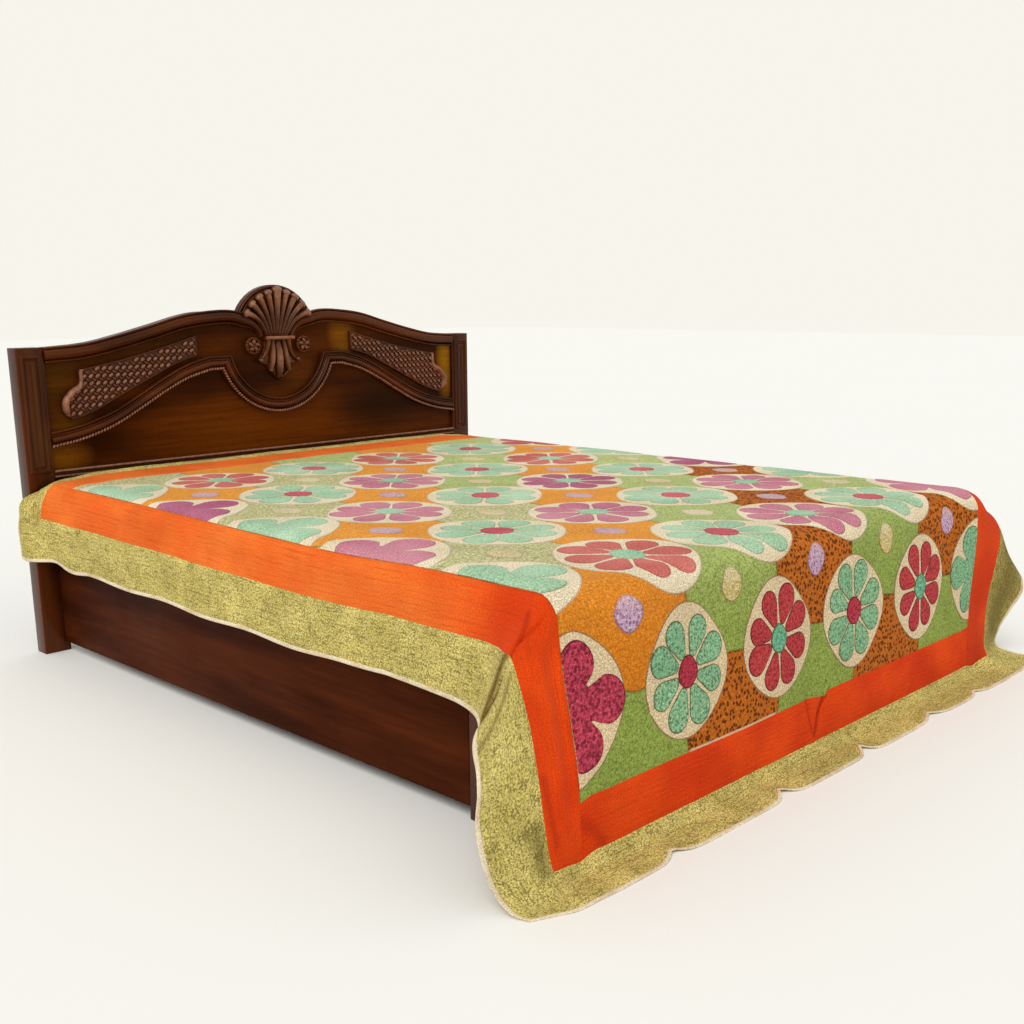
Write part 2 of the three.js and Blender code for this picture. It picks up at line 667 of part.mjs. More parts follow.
function headboardPanel() {
  const top = smoothLine(TOP_EDGE, 16);
  const base = [
    [-INSIDE, PANEL_BOTTOM],
    [INSIDE, PANEL_BOTTOM],
  ];
  const outline = [...base, ...[...top].reverse(), ...top.map(([x, z]) => [-x, z])];
  return upright("headboard_panel", wood, shapeThrough(outline), [PANEL_FRONT, PANEL_BACK]);
}

// Each top rail follows the top edge and ends in a scroll beside the shell.
function topRails() {
  const upper = [...SCROLL_OUTER, ...smoothLine(TOP_EDGE, 16)];
  const lower = [...SCROLL_INNER, ...smoothLine(lowered(TOP_EDGE, TOP_RAIL_WIDTH), 16)];
  const half = [...lower, ...upper.reverse()];
  return [
    upright("top_rail_right", wood, shapeThrough(half), MOULDING_DEPTH),
    upright("top_rail_left", wood, shapeThrough(mirrored(half)), MOULDING_DEPTH),
  ];
}

// The right half of the arch line, a distance below its upper edge.
function archLine(below) {
  const radius = ARCH_DIP_RADIUS + below;
  const shoulder = ARCH_SHOULDER - 0.9 * below;
  const end = Math.asin((ARCH_DIP_CENTRE - shoulder) / radius);
  const steps = 12;
  const dip = [];
  for (let i = 0; i <= steps; i += 1) {
    const angle = Math.PI / 2 - (Math.PI / 2 - end) * (i / steps);
    dip.push([radius * Math.cos(angle), ARCH_DIP_CENTRE - radius * Math.sin(angle)]);
  }
  return [...dip, ...smoothLine(lowered(ARCH_EDGE, 0.95 * below), 16)];
}

function archBand(name, material, from, to) {
  const whole = (line) => [...mirrored(line.slice(1)), ...line];
  const outline = [...whole(archLine(to)), ...whole(archLine(from)).reverse()];
  return upright(name, material, shapeThrough(outline), MOULDING_DEPTH);
}

const LATTICE_OUTLINE = [
  [322, 894],
  [386, 876],
  [488, 832],
  [600, 780],
  [690, 738],
  [757, 718],
  [773, 734],
  [778, 770],
  [757, 796],
  [727, 818],
  [722, 862],
  [585, 887],
  [450, 918],
  [320, 953],
];

function latticePanels() {
  const depth = [LATTICE_FRONT, PANEL_FRONT - PIECE_GAP];
  return [
    upright("lattice_panel_right", carving, shapeThrough(LATTICE_OUTLINE), depth),
    upright("lattice_panel_left", carving, shapeThrough(mirrored(LATTICE_OUTLINE)), depth),
  ];
}

// Shell crest: a round-headed block on the panel, a fan of flutes before it, a band,
// a pendant leaf and two rosettes.
const CREST_RADIUS = 169;
const CREST_CENTRE = 950;
const CREST_BOTTOM = 1031.3;
const FAN_FLUTES = 9;
const FAN_RADIUS = 146;
const FLUTE_BULGE = 12;
const ROSETTE = { x: 104, z: 917, radius: 28 };
const SHELL_BAND = [
  [-56, 935.3],
  [56, 935.3],
  [52, 946],
  [-52, 946],
];
const PENDANT = [
  [0, 797],
  [38, 828],
  [62, 850],
  [70, 872],
  [52, 905],
  [50, 935],
];

function fanOutline() {
  const foot = [[48, 946.5], ...SCROLL_OUTER.slice(1).map(([x, z]) => [x - 4, z + 3])];
  const [lastX, lastZ] = foot.at(-1);
  const start = Math.atan2(lastZ + 6 - CREST_CENTRE, lastX);
  const spread = Math.PI - 2 * start;
  const steps = FAN_FLUTES * 4;
  const rim = [];
  for (let i = 0; i <= steps; i += 1) {
    const lobe = Math.abs(Math.sin((Math.PI * FAN_FLUTES * i) / steps));
    const radius = FAN_RADIUS + FLUTE_BULGE * lobe;
    const angle = start + (spread * i) / steps;
    rim.push([radius * Math.cos(angle), CREST_CENTRE + radius * Math.sin(angle)]);
  }
  return [...foot, ...rim, ...mirrored(foot)];
}

function shellCarving() {
  const end = Math.asin((CREST_BOTTOM - CREST_CENTRE) / CREST_RADIUS);
  const crest = new THREE.Shape();
  crest.absarc(0, CREST_CENTRE, CREST_RADIUS, end, Math.PI - end, false);
  const front = [CARVING_FRONT, PANEL_FRONT - PIECE_GAP];
  const rosette = (side) => {
    const shape = new THREE.Shape();
    return shape.absarc(side * ROSETTE.x, ROSETTE.z, ROSETTE.radius, 0, Math.PI * 2, false);
  };
  const pendant = [...PENDANT, ...mirrored(PENDANT.slice(1))];
  return [
    upright("shell_crest", wood, crest, [PANEL_FRONT, PANEL_BACK]),
    upright("shell_fan", carving, shapeThrough(fanOutline()), front),
    upright("shell_band", carving, shapeThrough(SHELL_BAND), front),
    upright("shell_pendant", carving, shapeThrough(pendant), front),
    upright("rosette_left", carving, rosette(-1), front),
    upright("rosette_right", carving, rosette(1), front),
  ];
}

function headboard() {
  const group = new THREE.Group();
  group.add(...headPost("left", -1), ...headPost("right", 1));
  const carved = [
    headboardPanel(),
    ...topRails(),
    ...latticePanels(),
    ...shellCarving(),
    archBand("arch_moulding", wood, 0, ARCH_WIDTH),
    archBand("rope_bead", carving, ARCH_WIDTH + PIECE_GAP, ARCH_WIDTH + ROPE_WIDTH),
  ];
  group.add(...carved.map(setAside));
  const across = [-INSIDE, INSIDE];
  group.add(block("bottom_moulding", carving, across, MOULDING_DEPTH, BOTTOM_MOULDING_Z));
  return group;
}

function bedFrame() {
  const group = new THREE.Group();
  const outer = [RAIL_OUT - RAIL_THICKNESS, RAIL_OUT];
  const postEnd = FOOT_END_Y + FOOT_POST_WIDTH;
  for (const [label, sign] of [["left", -1], ["right", 1]]) {
    const x = outer.map((at) => at * sign).sort((p, q) => p - q);
    const run = [postEnd + PIECE_GAP, -PIECE_GAP];
    group.add(block(`side_rail_${label}`, wood, x, run, [RAIL_BOTTOM, RAIL_TOP]));
    group.add(block(`foot_post_${label}`, wood, x, [FOOT_END_Y, postEnd], [0, RAIL_TOP]));
  }
  const inside = outer[0] - PIECE_GAP;
  const footRail = [FOOT_END_Y, FOOT_END_Y + RAIL_THICKNESS];
  group.add(block("foot_rail", wood, [-inside, inside], footRail, [RAIL_BOTTOM, RAIL_TOP]));
  const bearing = RAIL_TOP + PIECE_GAP;
  const board = [bearing, bearing + PLATFORM_THICKNESS];
  group.add(block("platform", wood, [-RAIL_OUT, RAIL_OUT], [FOOT_END_Y, -30], board));
  group.add(mattress(board[1] + PIECE_GAP));
  return group;
}

// The mattress: rounded in plan at its foot corners and rounded over all along its top edge.
function mattress(bottom) {
  const top = TOP_HEIGHT - CLOTH_THICKNESS / 2 - MATTRESS_CLEARANCE;
  const rings = [{ inset: 0, z: bottom }];
  const steps = 4;
  for (let i = 0; i <= steps; i += 1) {
    const turn = (Math.PI / 2) * (i / steps);
    rings.push({
      inset: MATTRESS_EDGE * (1 - Math.cos(turn)),
      z: top - MATTRESS_EDGE * (1 - Math.sin(turn)),
    });
  }
  const outline = (inset) => {
    const shape = new THREE.Shape();
    const x = MATTRESS_HALF_WIDTH - inset;
    const head = MATTRESS_HEAD_Y - inset;
    const foot = MATTRESS_FOOT_Y + inset;
    const corner = MATTRESS_CORNER - inset;
    shape.moveTo(-x, head);
    shape.lineTo(-x, foot + corner);
    shape.absarc(-x + corner, foot + corner, corner, Math.PI, Math.PI * 1.5, false);
    shape.lineTo(x - corner, foot);
    shape.absarc(x - corner, foot + corner, corner, Math.PI * 1.5, Math.PI * 2, false);
    shape.lineTo(x, head);
    return shape.extractPoints(6).shape;
  };
  const loops = rings.map(({ inset, z }) => outline(inset).map((p) => new THREE.Vector3(p.x, p.y, z)));
  return named(new THREE.Mesh(stackedLoops(loops), ticking), "mattress");
}

// A closed solid through loops of equal point counts, capped flat at both ends.
function stackedLoops(loops) {
  const count = loops[0].length;
  const positions = loops.flat().flatMap((p) => p.toArray());
  const faces = [];
  for (let j = 0; j < loops.length - 1; j += 1) {
    for (let i = 0; i < count; i += 1) {
      const a = j * count + i;
      const b = j * count + ((i + 1) % count);
      faces.push(a, b, b + count, a, b + count, a + count);
    }
  }
  const cap = THREE.ShapeUtils.triangulateShape(loops[0].map((p) => new THREE.Vector2(p.x, p.y)), []);
  const last = (loops.length - 1) * count;
  for (const [a, b, c] of cap) faces.push(a, c, b, last + a, last + b, last + c);
  const geometry = new THREE.BufferGeometry();
  geometry.setAttribute("position", new THREE.Float32BufferAttribute(positions, 3));
  geometry.setIndex(faces);
  geometry.computeVertexNormals();
  return geometry;
}

// ---------------------------------------------------------------- assembly

// The origin is under the middle of the whole, on the floor.
function centred(model) {
  const wrapper = new THREE.Group();
  wrapper.add(model);
  const box = new THREE.Box3().setFromObject(wrapper);
  const middle = box.getCenter(new THREE.Vector3());
  model.position.set(-middle.x, -middle.y, 0);
  return wrapper;
}

const model = new THREE.Group();
model.add(headboard(), bedFrame(), ...CLOTH_PIECES.map(clothPiece));

export default centred(model);
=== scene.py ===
"""The applique bedspread on its bed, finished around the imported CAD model.

Metres, +Z up, the head of the bed at +Y. Cloth is worked out in millimetres on its own flat
sizes (u across from the middle line, v from the head hem to the foot hem) and then laid down.
"""

import json
import math
import random

import bmesh
import bpy
import numpy as np
from mathutils import Matrix, Vector

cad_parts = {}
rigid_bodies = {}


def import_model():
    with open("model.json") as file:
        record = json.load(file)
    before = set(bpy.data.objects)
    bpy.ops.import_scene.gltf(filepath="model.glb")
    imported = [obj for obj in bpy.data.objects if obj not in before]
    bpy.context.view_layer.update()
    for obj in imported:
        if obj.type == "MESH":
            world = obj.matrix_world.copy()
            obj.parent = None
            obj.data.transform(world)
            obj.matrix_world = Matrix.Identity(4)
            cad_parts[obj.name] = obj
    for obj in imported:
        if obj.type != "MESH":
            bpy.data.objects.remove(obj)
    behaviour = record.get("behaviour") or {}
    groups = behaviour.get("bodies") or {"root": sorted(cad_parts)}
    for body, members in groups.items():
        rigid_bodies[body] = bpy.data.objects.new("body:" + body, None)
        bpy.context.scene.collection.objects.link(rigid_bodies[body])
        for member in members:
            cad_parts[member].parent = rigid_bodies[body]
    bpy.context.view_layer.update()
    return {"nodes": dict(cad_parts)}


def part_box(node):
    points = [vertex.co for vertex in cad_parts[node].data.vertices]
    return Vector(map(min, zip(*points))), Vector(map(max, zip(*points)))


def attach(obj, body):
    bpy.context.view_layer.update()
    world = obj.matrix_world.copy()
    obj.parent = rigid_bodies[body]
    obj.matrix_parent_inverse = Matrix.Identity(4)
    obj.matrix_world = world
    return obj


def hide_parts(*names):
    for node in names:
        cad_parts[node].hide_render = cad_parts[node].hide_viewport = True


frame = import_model()
nodes = frame["nodes"]
for node in nodes.values():
    node.data.materials.clear()

MM = 0.001
# The headboard's front face and the middle line of the bed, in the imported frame.
post_low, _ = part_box("head_post_left")
BED_HALF_WIDTH = 915
MIDDLE_X = post_low.x + BED_HALF_WIDTH * MM
FRONT_Y = post_low.y

# ---------------------------------------------------------------- small helpers


def smooth(start, end, x):
    t = np.clip((np.asarray(x, float) - start) / (end - start), 0, 1)
    return t * t * (3 - 2 * t)


def between(rise, fall, x):
    """Grows from 0 to 1 over the first range and fades back to 0 over the second."""
    return smooth(*rise, x) * (1 - smooth(*fall, x))


def srgb(red, green, blue):
    """A colour given as 0 to 255, as Blender's linear colour."""
    linear = []
    for part in (red, green, blue):
        share = part / 255
        linear.append(share / 12.92 if share <= 0.04045 else ((share + 0.055) / 1.055) ** 2.4)
    return (*linear, 1.0)


def linked(name, data):
    thing = bpy.data.objects.new(name, data)
    bpy.context.scene.collection.objects.link(thing)
    return thing


def deselect_all():
    bpy.ops.object.select_all(action="DESELECT")


def pick(piece):
    deselect_all()
    piece.select_set(True)
    bpy.context.view_layer.objects.active = piece
    return piece


def place_applied(piece):
    """Moves the piece's place, turn and size into its mesh."""
    pick(piece)
    bpy.ops.object.transform_apply(location=True, rotation=True, scale=True)
    return piece


def dressed(piece, material, slot, *replaced):
    """Gives a finished piece its material and the body it rides on; the slot is not used."""
    piece.data.materials.clear()
    piece.data.materials.append(material)
    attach(piece, "root")
    if replaced:
        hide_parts(*replaced)
    return piece


def shaded(piece, angle):
    pick(piece)
    bpy.ops.object.shade_smooth_by_angle(angle=math.radians(angle))
    return piece


def applied(piece, kind, **settings):
    """Adds a modifier to the piece and applies it."""
    pick(piece)
    modifier = piece.modifiers.new(kind.title(), kind)
    for key, value in settings.items():
        setattr(modifier, key, value)
    bpy.ops.object.modifier_apply(modifier=modifier.name)
    return piece


def mesh_object(name, points, faces):
    mesh = bpy.data.meshes.new(name)
    mesh.from_pydata([tuple(p) for p in points], [], [tuple(f) for f in faces])
    mesh.validate()
    return linked(name, mesh)


# ---------------------------------------------------------------- shader building


class Shader:
    """Short names for adding and joining nodes in one tree."""

    def __init__(self, tree):
        self.tree = tree

    def put(self, socket, value):
        """Joins or sets a socket; a colour may be given as three numbers from 0 to 255."""
        if isinstance(value, bpy.types.NodeSocket):
            self.tree.links.new(value, socket)
        elif socket.type == "RGBA" and len(value) == 3:
            socket.default_value = srgb(*value)
        else:
            socket.default_value = value

    def add(self, kind, inputs=(), **settings):
        made = self.tree.nodes.new("ShaderNode" + kind)
        for key, value in settings.items():
            setattr(made, key, value)
        for key, value in dict(inputs).items():
            self.put(made.inputs[key], value)
        return made

    def math(self, operation, a, b=0.0, clamp=False):
        made = self.add("Math", operation=operation, use_clamp=clamp)
        self.put(made.inputs[0], a)
        self.put(made.inputs[1], b)
        return made.outputs[0]

    def times(self, a, b):
        return self.math("MULTIPLY", a, b)

    def plus(self, a, b):
        return self.math("ADD", a, b)

    def minus(self, a, b):
        return self.math("SUBTRACT", a, b)

    def divided(self, a, b):
        return self.math("DIVIDE", a, b)

    def vector(self, operation, a, b):
        """Adds to a vector, takes from it, or scales it by a number."""
        made = self.add("VectorMath", operation=operation)
        self.put(made.inputs[0], a)
        self.put(made.inputs["Scale" if operation == "SCALE" else 1], b)
        return made.outputs[0]

    def split(self, vector):
        return self.add("SeparateXYZ", {"Vector": vector}).outputs

    def place(self):
        """Where a point is in the frame, in metres."""
        return self.add("TexCoord").outputs["Object"]

    def mix(self, factor, a, b, blend="MIX"):
        made = self.add("Mix", data_type="RGBA", blend_type=blend)
        self.put(made.inputs["Factor"], factor)
        self.put(made.inputs["A"], a)
        self.put(made.inputs["B"], b)
        return made.outputs["Result"]

    def tinted(self, base, mask, strength, colour):
        """The base with another colour laid over it, so strongly where the mask is 1."""
        return self.mix(self.times(mask, strength), base, colour)

    def ramp(self, value, low, high, to_low=0.0, to_high=1.0):
        inputs = {"Value": value, "From Min": low, "From Max": high, "To Min": to_low, "To Max": to_high}
        return self.add("MapRange", inputs, interpolation_type="SMOOTHSTEP").outputs["Result"]

    def noise(self, vector, scale, detail=2.0, roughness=0.5):
        inputs = {"Vector": vector, "Scale": scale, "Detail": detail, "Roughness": roughness}
        return self.add("TexNoise", inputs).outputs["Fac"]

    def stretched(self, vector, size, turn=(0.0, 0.0, 0.0)):
        return self.add("Mapping", {"Vector": vector, "Scale": size, "Rotation": turn}).outputs[0]

    def group(self, group, **inputs):
        made = self.add("Group", node_tree=group)
        for key, value in inputs.items():
            self.put(made.inputs[key.replace("_", " ").title()], value)
        return made.outputs


def node_group(name, inputs, outputs):
    """An empty shader group with named sockets; returns it with its shader and its two ends."""
    group = bpy.data.node_groups.new(name, "ShaderNodeTree")
    for label, kind in inputs.items():
        group.interface.new_socket(label, in_out="INPUT", socket_type="NodeSocket" + kind)
    for label, kind in outputs.items():
        group.interface.new_socket(label, in_out="OUTPUT", socket_type="NodeSocket" + kind)
    shader = Shader(group)
    start = group.nodes.new("NodeGroupInput").outputs
    end = group.nodes.new("NodeGroupOutput").inputs
    return group, shader, start, end


def weave_group():
    """A plain weave: threads over and under each other, and how open the cloth is between them."""
    outputs = {"Height": "Float", "Gaps": "Float"}
    group, s, start, end = node_group("plain_weave", {"Flat": "Vector", "Thread": "Float"}, outputs)
    parts = s.split(start["Flat"])
    turn = s.divided(math.pi, start["Thread"])
    warp = s.math("SINE", s.times(parts["X"], turn))
    weft = s.math("SINE", s.times(parts["Y"], turn))
    over = s.times(warp, weft)
    slub = s.noise(start["Flat"], 260.0, 2.0)
    s.put(end["Height"], s.plus(s.times(over, 0.5), slub))
    s.put(end["Gaps"], s.ramp(s.math("ABSOLUTE", over), 0.0, 0.35, 1.0, 0.0))
    return group


def stipple_group():
    """Hand quilting in tight wandering stitches: pebbles of padded cloth between sunk threads."""
    outputs = {"Height": "Float", "Sunk": "Float", "Fleck": "Float"}
    group, s, start, end = node_group("stipple_quilting", {"Flat": "Vector", "Pebble": "Float"}, outputs)
    scale = s.divided(1.0, start["Pebble"])
    wander = s.add("TexNoise", {"Vector": start["Flat"], "Scale": 60.0, "Detail": 1.0}).outputs["Color"]
    moved = s.vector("ADD", start["Flat"], s.vector("SCALE", wander, 0.012))
    inputs = {"Vector": moved, "Scale": scale, "Randomness": 0.9}
    edge = s.add("TexVoronoi", inputs, feature="DISTANCE_TO_EDGE", voronoi_dimensions="2D")
    sunk = s.ramp(edge.outputs["Distance"], 0.0, 0.16, 1.0, 0.0)
    crumple = s.noise(start["Flat"], 150.0, 3.0, 0.65)
    s.put(end["Height"], s.minus(s.times(crumple, 1.5), s.times(sunk, 0.28)))
    s.put(end["Sunk"], sunk)
    fleck = s.noise(start["Flat"], 280.0, 3.0, 0.7)
    s.put(end["Fleck"], s.ramp(fleck, 0.36, 0.66))
    return group


def spots_group():
    """Small round printed spots, unevenly spread."""
    sockets = {"Flat": "Vector", "Spacing": "Float", "Size": "Float", "Share": "Float"}
    group, s, start, end = node_group("printed_spots", sockets, {"Mask": "Float"})
    scale = s.divided(1.0, start["Spacing"])
    cells = s.add("TexVoronoi", {"Vector": start["Flat"], "Scale": scale}, voronoi_dimensions="2D")
    limit = s.times(start["Size"], s.ramp(s.noise(start["Flat"], 40.0), 0.3, 0.7, 0.7, 1.3))
    round_spot = s.ramp(cells.outputs["Distance"], s.times(limit, 0.55), limit, 1.0, 0.0)
    chance = s.add("SeparateColor", {"Color": cells.outputs["Color"]}).outputs["Red"]
    kept = s.math("LESS_THAN", chance, start["Share"])
    s.put(end["Mask"], s.times(round_spot, kept))
    return group


def stitch_rows_group():
    """Running stitches in rows along the strip: short threads, each in a shallow dip."""
    outputs = {"Thread": "Float", "Dip": "Float"}
    sockets = {"Flat": "Vector", "Row": "Float", "Stitch": "Float"}
    group, s, start, end = node_group("running_stitches", sockets, outputs)
    parts = s.split(start["Flat"])
    sway = s.times(s.minus(s.noise(start["Flat"], 9.0, 2.0), 0.5), 0.016)
    across = s.divided(s.plus(parts["Y"], sway), start["Row"])
    line = s.math("ABSOLUTE", s.minus(s.math("FRACT", across), 0.5))
    stagger = s.times(s.math("FLOOR", across), 0.37)
    along = s.plus(s.divided(parts["X"], start["Stitch"]), stagger)
    dash = s.ramp(s.math("FRACT", along), 0.42, 0.5, 1.0, 0.0)
    uneven = s.ramp(s.noise(start["Flat"], 22.0, 2.0), 0.38, 0.62)
    dip = s.ramp(line, 0.0, 0.3, 1.0, 0.0)
    thread = s.times(s.ramp(line, 0.03, 0.12, 1.0, 0.0), dash)
    s.put(end["Thread"], s.times(thread, uneven))
    s.put(end["Dip"], s.times(dip, s.ramp(uneven, 0.0, 1.0, 0.4, 1.0)))
    return group


def grain_group():
    """Wood grain running along X of the vector it is given: broad figure, fine lines and pores."""
    outputs = {"Figure": "Float", "Lines": "Float", "Pores": "Float"}
    group, s, start, end = node_group("wood_grain", {"Along": "Vector"}, outputs)
    broad = s.stretched(start["Along"], (1.1, 7.0, 7.0))
    s.put(end["Figure"], s.ramp(s.noise(broad, 1.6, 3.0, 0.55), 0.3, 0.72))
    fine = s.stretched(start["Along"], (2.2, 60.0, 60.0))
    s.put(end["Lines"], s.ramp(s.noise(fine, 1.5, 4.0, 0.6), 0.32, 0.7))
    pores = s.stretched(start["Along"], (26.0, 420.0, 420.0))
    s.put(end["Pores"], s.ramp(s.noise(pores, 1.0, 2.0, 0.5), 0.62, 0.74))
    return group


WEAVE = weave_group()
STIPPLE = stipple_group()
SPOTS = spots_group()
STITCHES = stitch_rows_group()
GRAIN = grain_group()


def new_material(name, uniform):
    """A material with its Principled shader; the uniform values go straight on its sockets."""
    material = bpy.data.materials.new(name)
    material.use_nodes = True
    shader = Shader(material.node_tree)
    body = material.node_tree.nodes["Principled BSDF"]
    for label, value in uniform.items():
        shader.put(body.inputs[label], value)
    return material, shader, body


def bumped(s, body, height, distance):
    made = s.add("Bump", {"Height": height, "Distance": distance, "Strength": 1.0})
    s.put(body.inputs["Normal"], made.outputs["Normal"])


def flat_sizes(s):
    """Where a point is on the cloth as cut, in metres."""
    return s.add("UVMap", uv_map="flat").outputs["UV"]


# ---------------------------------------------------------------- cloth materials

CLOTH_LOOK = {"Roughness": 0.94, "Sheen Weight": 0.02, "Sheen Roughness": 0.5, "Specular IOR Level": 0.1}
QUILTING_PEBBLE = 0.0085
THREAD = 0.0011


def on_top(s):
    """1 on the top of the bed, where the cut shapes are painted paler as lit, 0 where the cover hangs."""
    return s.ramp(s.split(s.place())["Z"], (TOP_HEIGHT - 75) * MM, (TOP_HEIGHT - 12) * MM)


def at_foot(s):
    """0 along the bed, 1 where the cover hangs over its foot, where the orange is painted in shade."""
    bend = FRONT_Y + FOOT_BEND_Y * MM
    return s.ramp(s.split(s.place())["Y"], bend + 0.45, bend - 0.02, 0.0, 1.0)


def gathered(s, across, along, start, end, reach):
    """A soft band on the flat cloth from one point to another, in millimetres: 1 along its middle."""
    run = np.array(end, float) - start
    length = float(run @ run)
    du = s.minus(across, start[0] * MM)
    dv = s.minus(along, start[1] * MM)
    dot = s.plus(s.times(du, run[0] * MM), s.times(dv, run[1] * MM))
    share = s.math("DIVIDE", dot, length * MM**2, clamp=True)
    off_u = s.minus(du, s.times(share, run[0] * MM))
    off_v = s.minus(dv, s.times(share, run[1] * MM))
    away = s.math("SQRT", s.plus(s.times(off_u, off_u), s.times(off_v, off_v)))
    return s.ramp(away, 0.0, reach * MM, 1.0, 0.0)


def cloth_finish(s, body, flat, colour, relief=0.0016, extra=None, grain=1.0):
    """Weave and stipple quilting over a cloth's colour, in shade and in relief."""
    stipple = s.group(STIPPLE, flat=flat, pebble=QUILTING_PEBBLE)
    weave = s.group(WEAVE, flat=flat, thread=THREAD)
    # Painted shade in the sunk stitch lines of the quilting.
    shade_in_dips = s.mix(s.times(stipple["Sunk"], 0.16), colour, (96, 62, 34), "MULTIPLY")
    washed = s.ramp(s.noise(flat, 7.0, 3.0), 0.3, 0.7, 0.94, 1.05)
    grains = s.ramp(stipple["Fleck"], 0.0, 1.0, 1 - 0.22 * grain, 1 + 0.17 * grain)
    s.put(body.inputs["Base Color"], s.vector("SCALE", shade_in_dips, s.times(washed, grains)))
    s.put(body.inputs["Roughness"], s.ramp(stipple["Fleck"], 0.0, 1.0, 0.86, 0.98))
    height = s.plus(stipple["Height"], s.times(weave["Height"], 0.12))
    if extra is not None:
        height = s.plus(height, extra)
    bumped(s, body, height, relief)


def patchwork_cloth():
    """Green and orange squares set by turns, with their seams, some of them speckled.

    Each point carries its place among the patches; a pale strip shows along parts of two seams.
    """
    material, s, body = new_material("patchwork_cloth", CLOTH_LOOK)
    flat = flat_sizes(s)
    place = s.add("Attribute", attribute_name="patch").outputs["Vector"]
    wobble = s.add("TexNoise", {"Vector": flat, "Scale": 7.0, "Detail": 1.0}).outputs["Color"]
    uneven = s.vector("SCALE", s.vector("SUBTRACT", wobble, (0.5, 0.5, 0.5)), 0.14)
    parts = s.split(s.vector("ADD", place, uneven))
    column = s.math("FLOOR", parts["X"])
    row = s.math("FLOOR", parts["Y"])
    both = s.plus(column, row)
    is_green = s.math("GREATER_THAN", s.math("MODULO", s.plus(both, 20.0), 2.0), 0.5)
    near_head = s.times(s.math("LESS_THAN", column, 1.5), s.math("LESS_THAN", row, 3.5))
    far_side = s.math("GREATER_THAN", both, 5.5)
    key = s.add("CombineXYZ", {"X": column, "Y": row}).outputs[0]
    chance = s.add("TexWhiteNoise", {"Vector": key}).outputs["Value"]
    # Painted light: the patches are paler on the top of the bed and deeper where they hang over the foot.
    top = s.ramp(parts["Y"], 3.6, 4.9, 1.0, 0.0)

    dense = s.group(SPOTS, flat=flat, spacing=0.0125, size=0.42, share=0.85)["Mask"]
    faint = s.group(SPOTS, flat=flat, spacing=0.0065, size=0.5, share=0.6)["Mask"]
    mottle = s.ramp(s.noise(flat, 120.0, 3.0, 0.6), 0.36, 0.66)

    fresh = s.mix(top, (140, 158, 68), (192, 204, 126))
    light = s.mix(top, (184, 200, 104), (226, 232, 164))
    fresh = s.tinted(fresh, mottle, 0.6, light)
    fresh = s.tinted(fresh, chance, 0.25, (128, 154, 66))
    beige = s.mix(s.times(mottle, 0.8), (186, 180, 116), (242, 236, 186))
    green = s.mix(near_head, fresh, beige)
    green = s.tinted(green, faint, 0.4, (70, 76, 34))

    plain = s.mix(top, (212, 118, 20), (238, 150, 48))
    glow = s.mix(top, (242, 156, 44), (252, 184, 86))
    plain = s.tinted(plain, mottle, 0.65, glow)
    plain = s.tinted(plain, faint, 0.22, (130, 66, 20))
    spotted = s.mix(s.times(mottle, 0.55), (184, 92, 16), (222, 134, 40))
    spotted = s.tinted(spotted, dense, 0.85, (70, 30, 10))
    orange = s.mix(far_side, plain, spotted)

    cloth = s.mix(is_green, orange, green)
    to_seams = []
    for axis in "XY":
        past = s.math("FRACT", s.plus(parts[axis], 0.5))
        to_seams.append(s.math("ABSOLUTE", s.minus(past, 0.5)))
    seam = s.ramp(s.math("MINIMUM", *to_seams), 0.002, 0.012, 1.0, 0.0)
    cloth = s.tinted(cloth, seam, 0.5, (84, 50, 22))
    across, along = s.split(flat)[:2]
    by_foot = s.ramp(along, (V_FIELD_END - 7) * MM, (V_FIELD_END - 5) * MM)
    stretch = s.times(s.ramp(across, -0.53, -0.5), s.ramp(across, -0.2, -0.17, 1.0, 0.0))
    strip = s.times(by_foot, stretch)
    strip = s.math("MAXIMUM", strip, s.ramp(along, (V_FIELD + 5) * MM, (V_FIELD + 9) * MM, 1.0, 0.0))
    cloth = s.mix(strip, cloth, (228, 194, 156))
    cloth_finish(s, body, flat, cloth, extra=s.times(seam, -0.9))
    return material


# Painted shade on the cut strips, along their folds and down the right border by the foot, in the
# strip's own flat directions: from, to, reach, strength and colour.
# Side strips run along X and the head and foot strips run across it.
ORANGE_FOLD_SHADE = (150, 30, 4)
ORANGE_PAINTED_SHADE = [
    ((50, 2556), (10, 2620), 11, 0.75, ORANGE_FOLD_SHADE),
    ((10, 2620), (-12, 2672), 12, 0.75, ORANGE_FOLD_SHADE),
    ((-54, 2570), (-20, 2668), 9, 0.5, ORANGE_FOLD_SHADE),
    ((2205, -976), (2150, -905), 16, 0.45, ORANGE_FOLD_SHADE),
    ((2640, -952), (2510, -968), 20, 0.4, ORANGE_FOLD_SHADE),
    ((-862, 2610), (-800, 2680), 22, 0.35, ORANGE_FOLD_SHADE),
    ((2250, 915), (2680, 915), 90, 0.3, ORANGE_FOLD_SHADE),
]
# The olive strips' painted shade, in the same columns.
OLIVE_PAINTED_SHADE = [
    ((2160, -985), (2132, -1105), 36, 0.85, (104, 66, 18)),
    ((2262, -1000), (2288, -1095), 28, 0.5, (112, 92, 36)),
    ((2600, -1000), (2690, -1000), 30, 0.55, (92, 82, 30)),
    ((2180, 1040), (2600, 1040), 120, 0.75, (96, 82, 24)),
]


def painted_shade_bands(s, flat, base, folds):
    """Paints shade softly along each band, in the folds and down the right border."""
    parts = s.split(flat)
    for start, end, reach, strength, colour in folds:
        band = gathered(s, parts["X"], parts["Y"], start, end, reach)
        base = s.tinted(base, band, strength, colour)
    return base


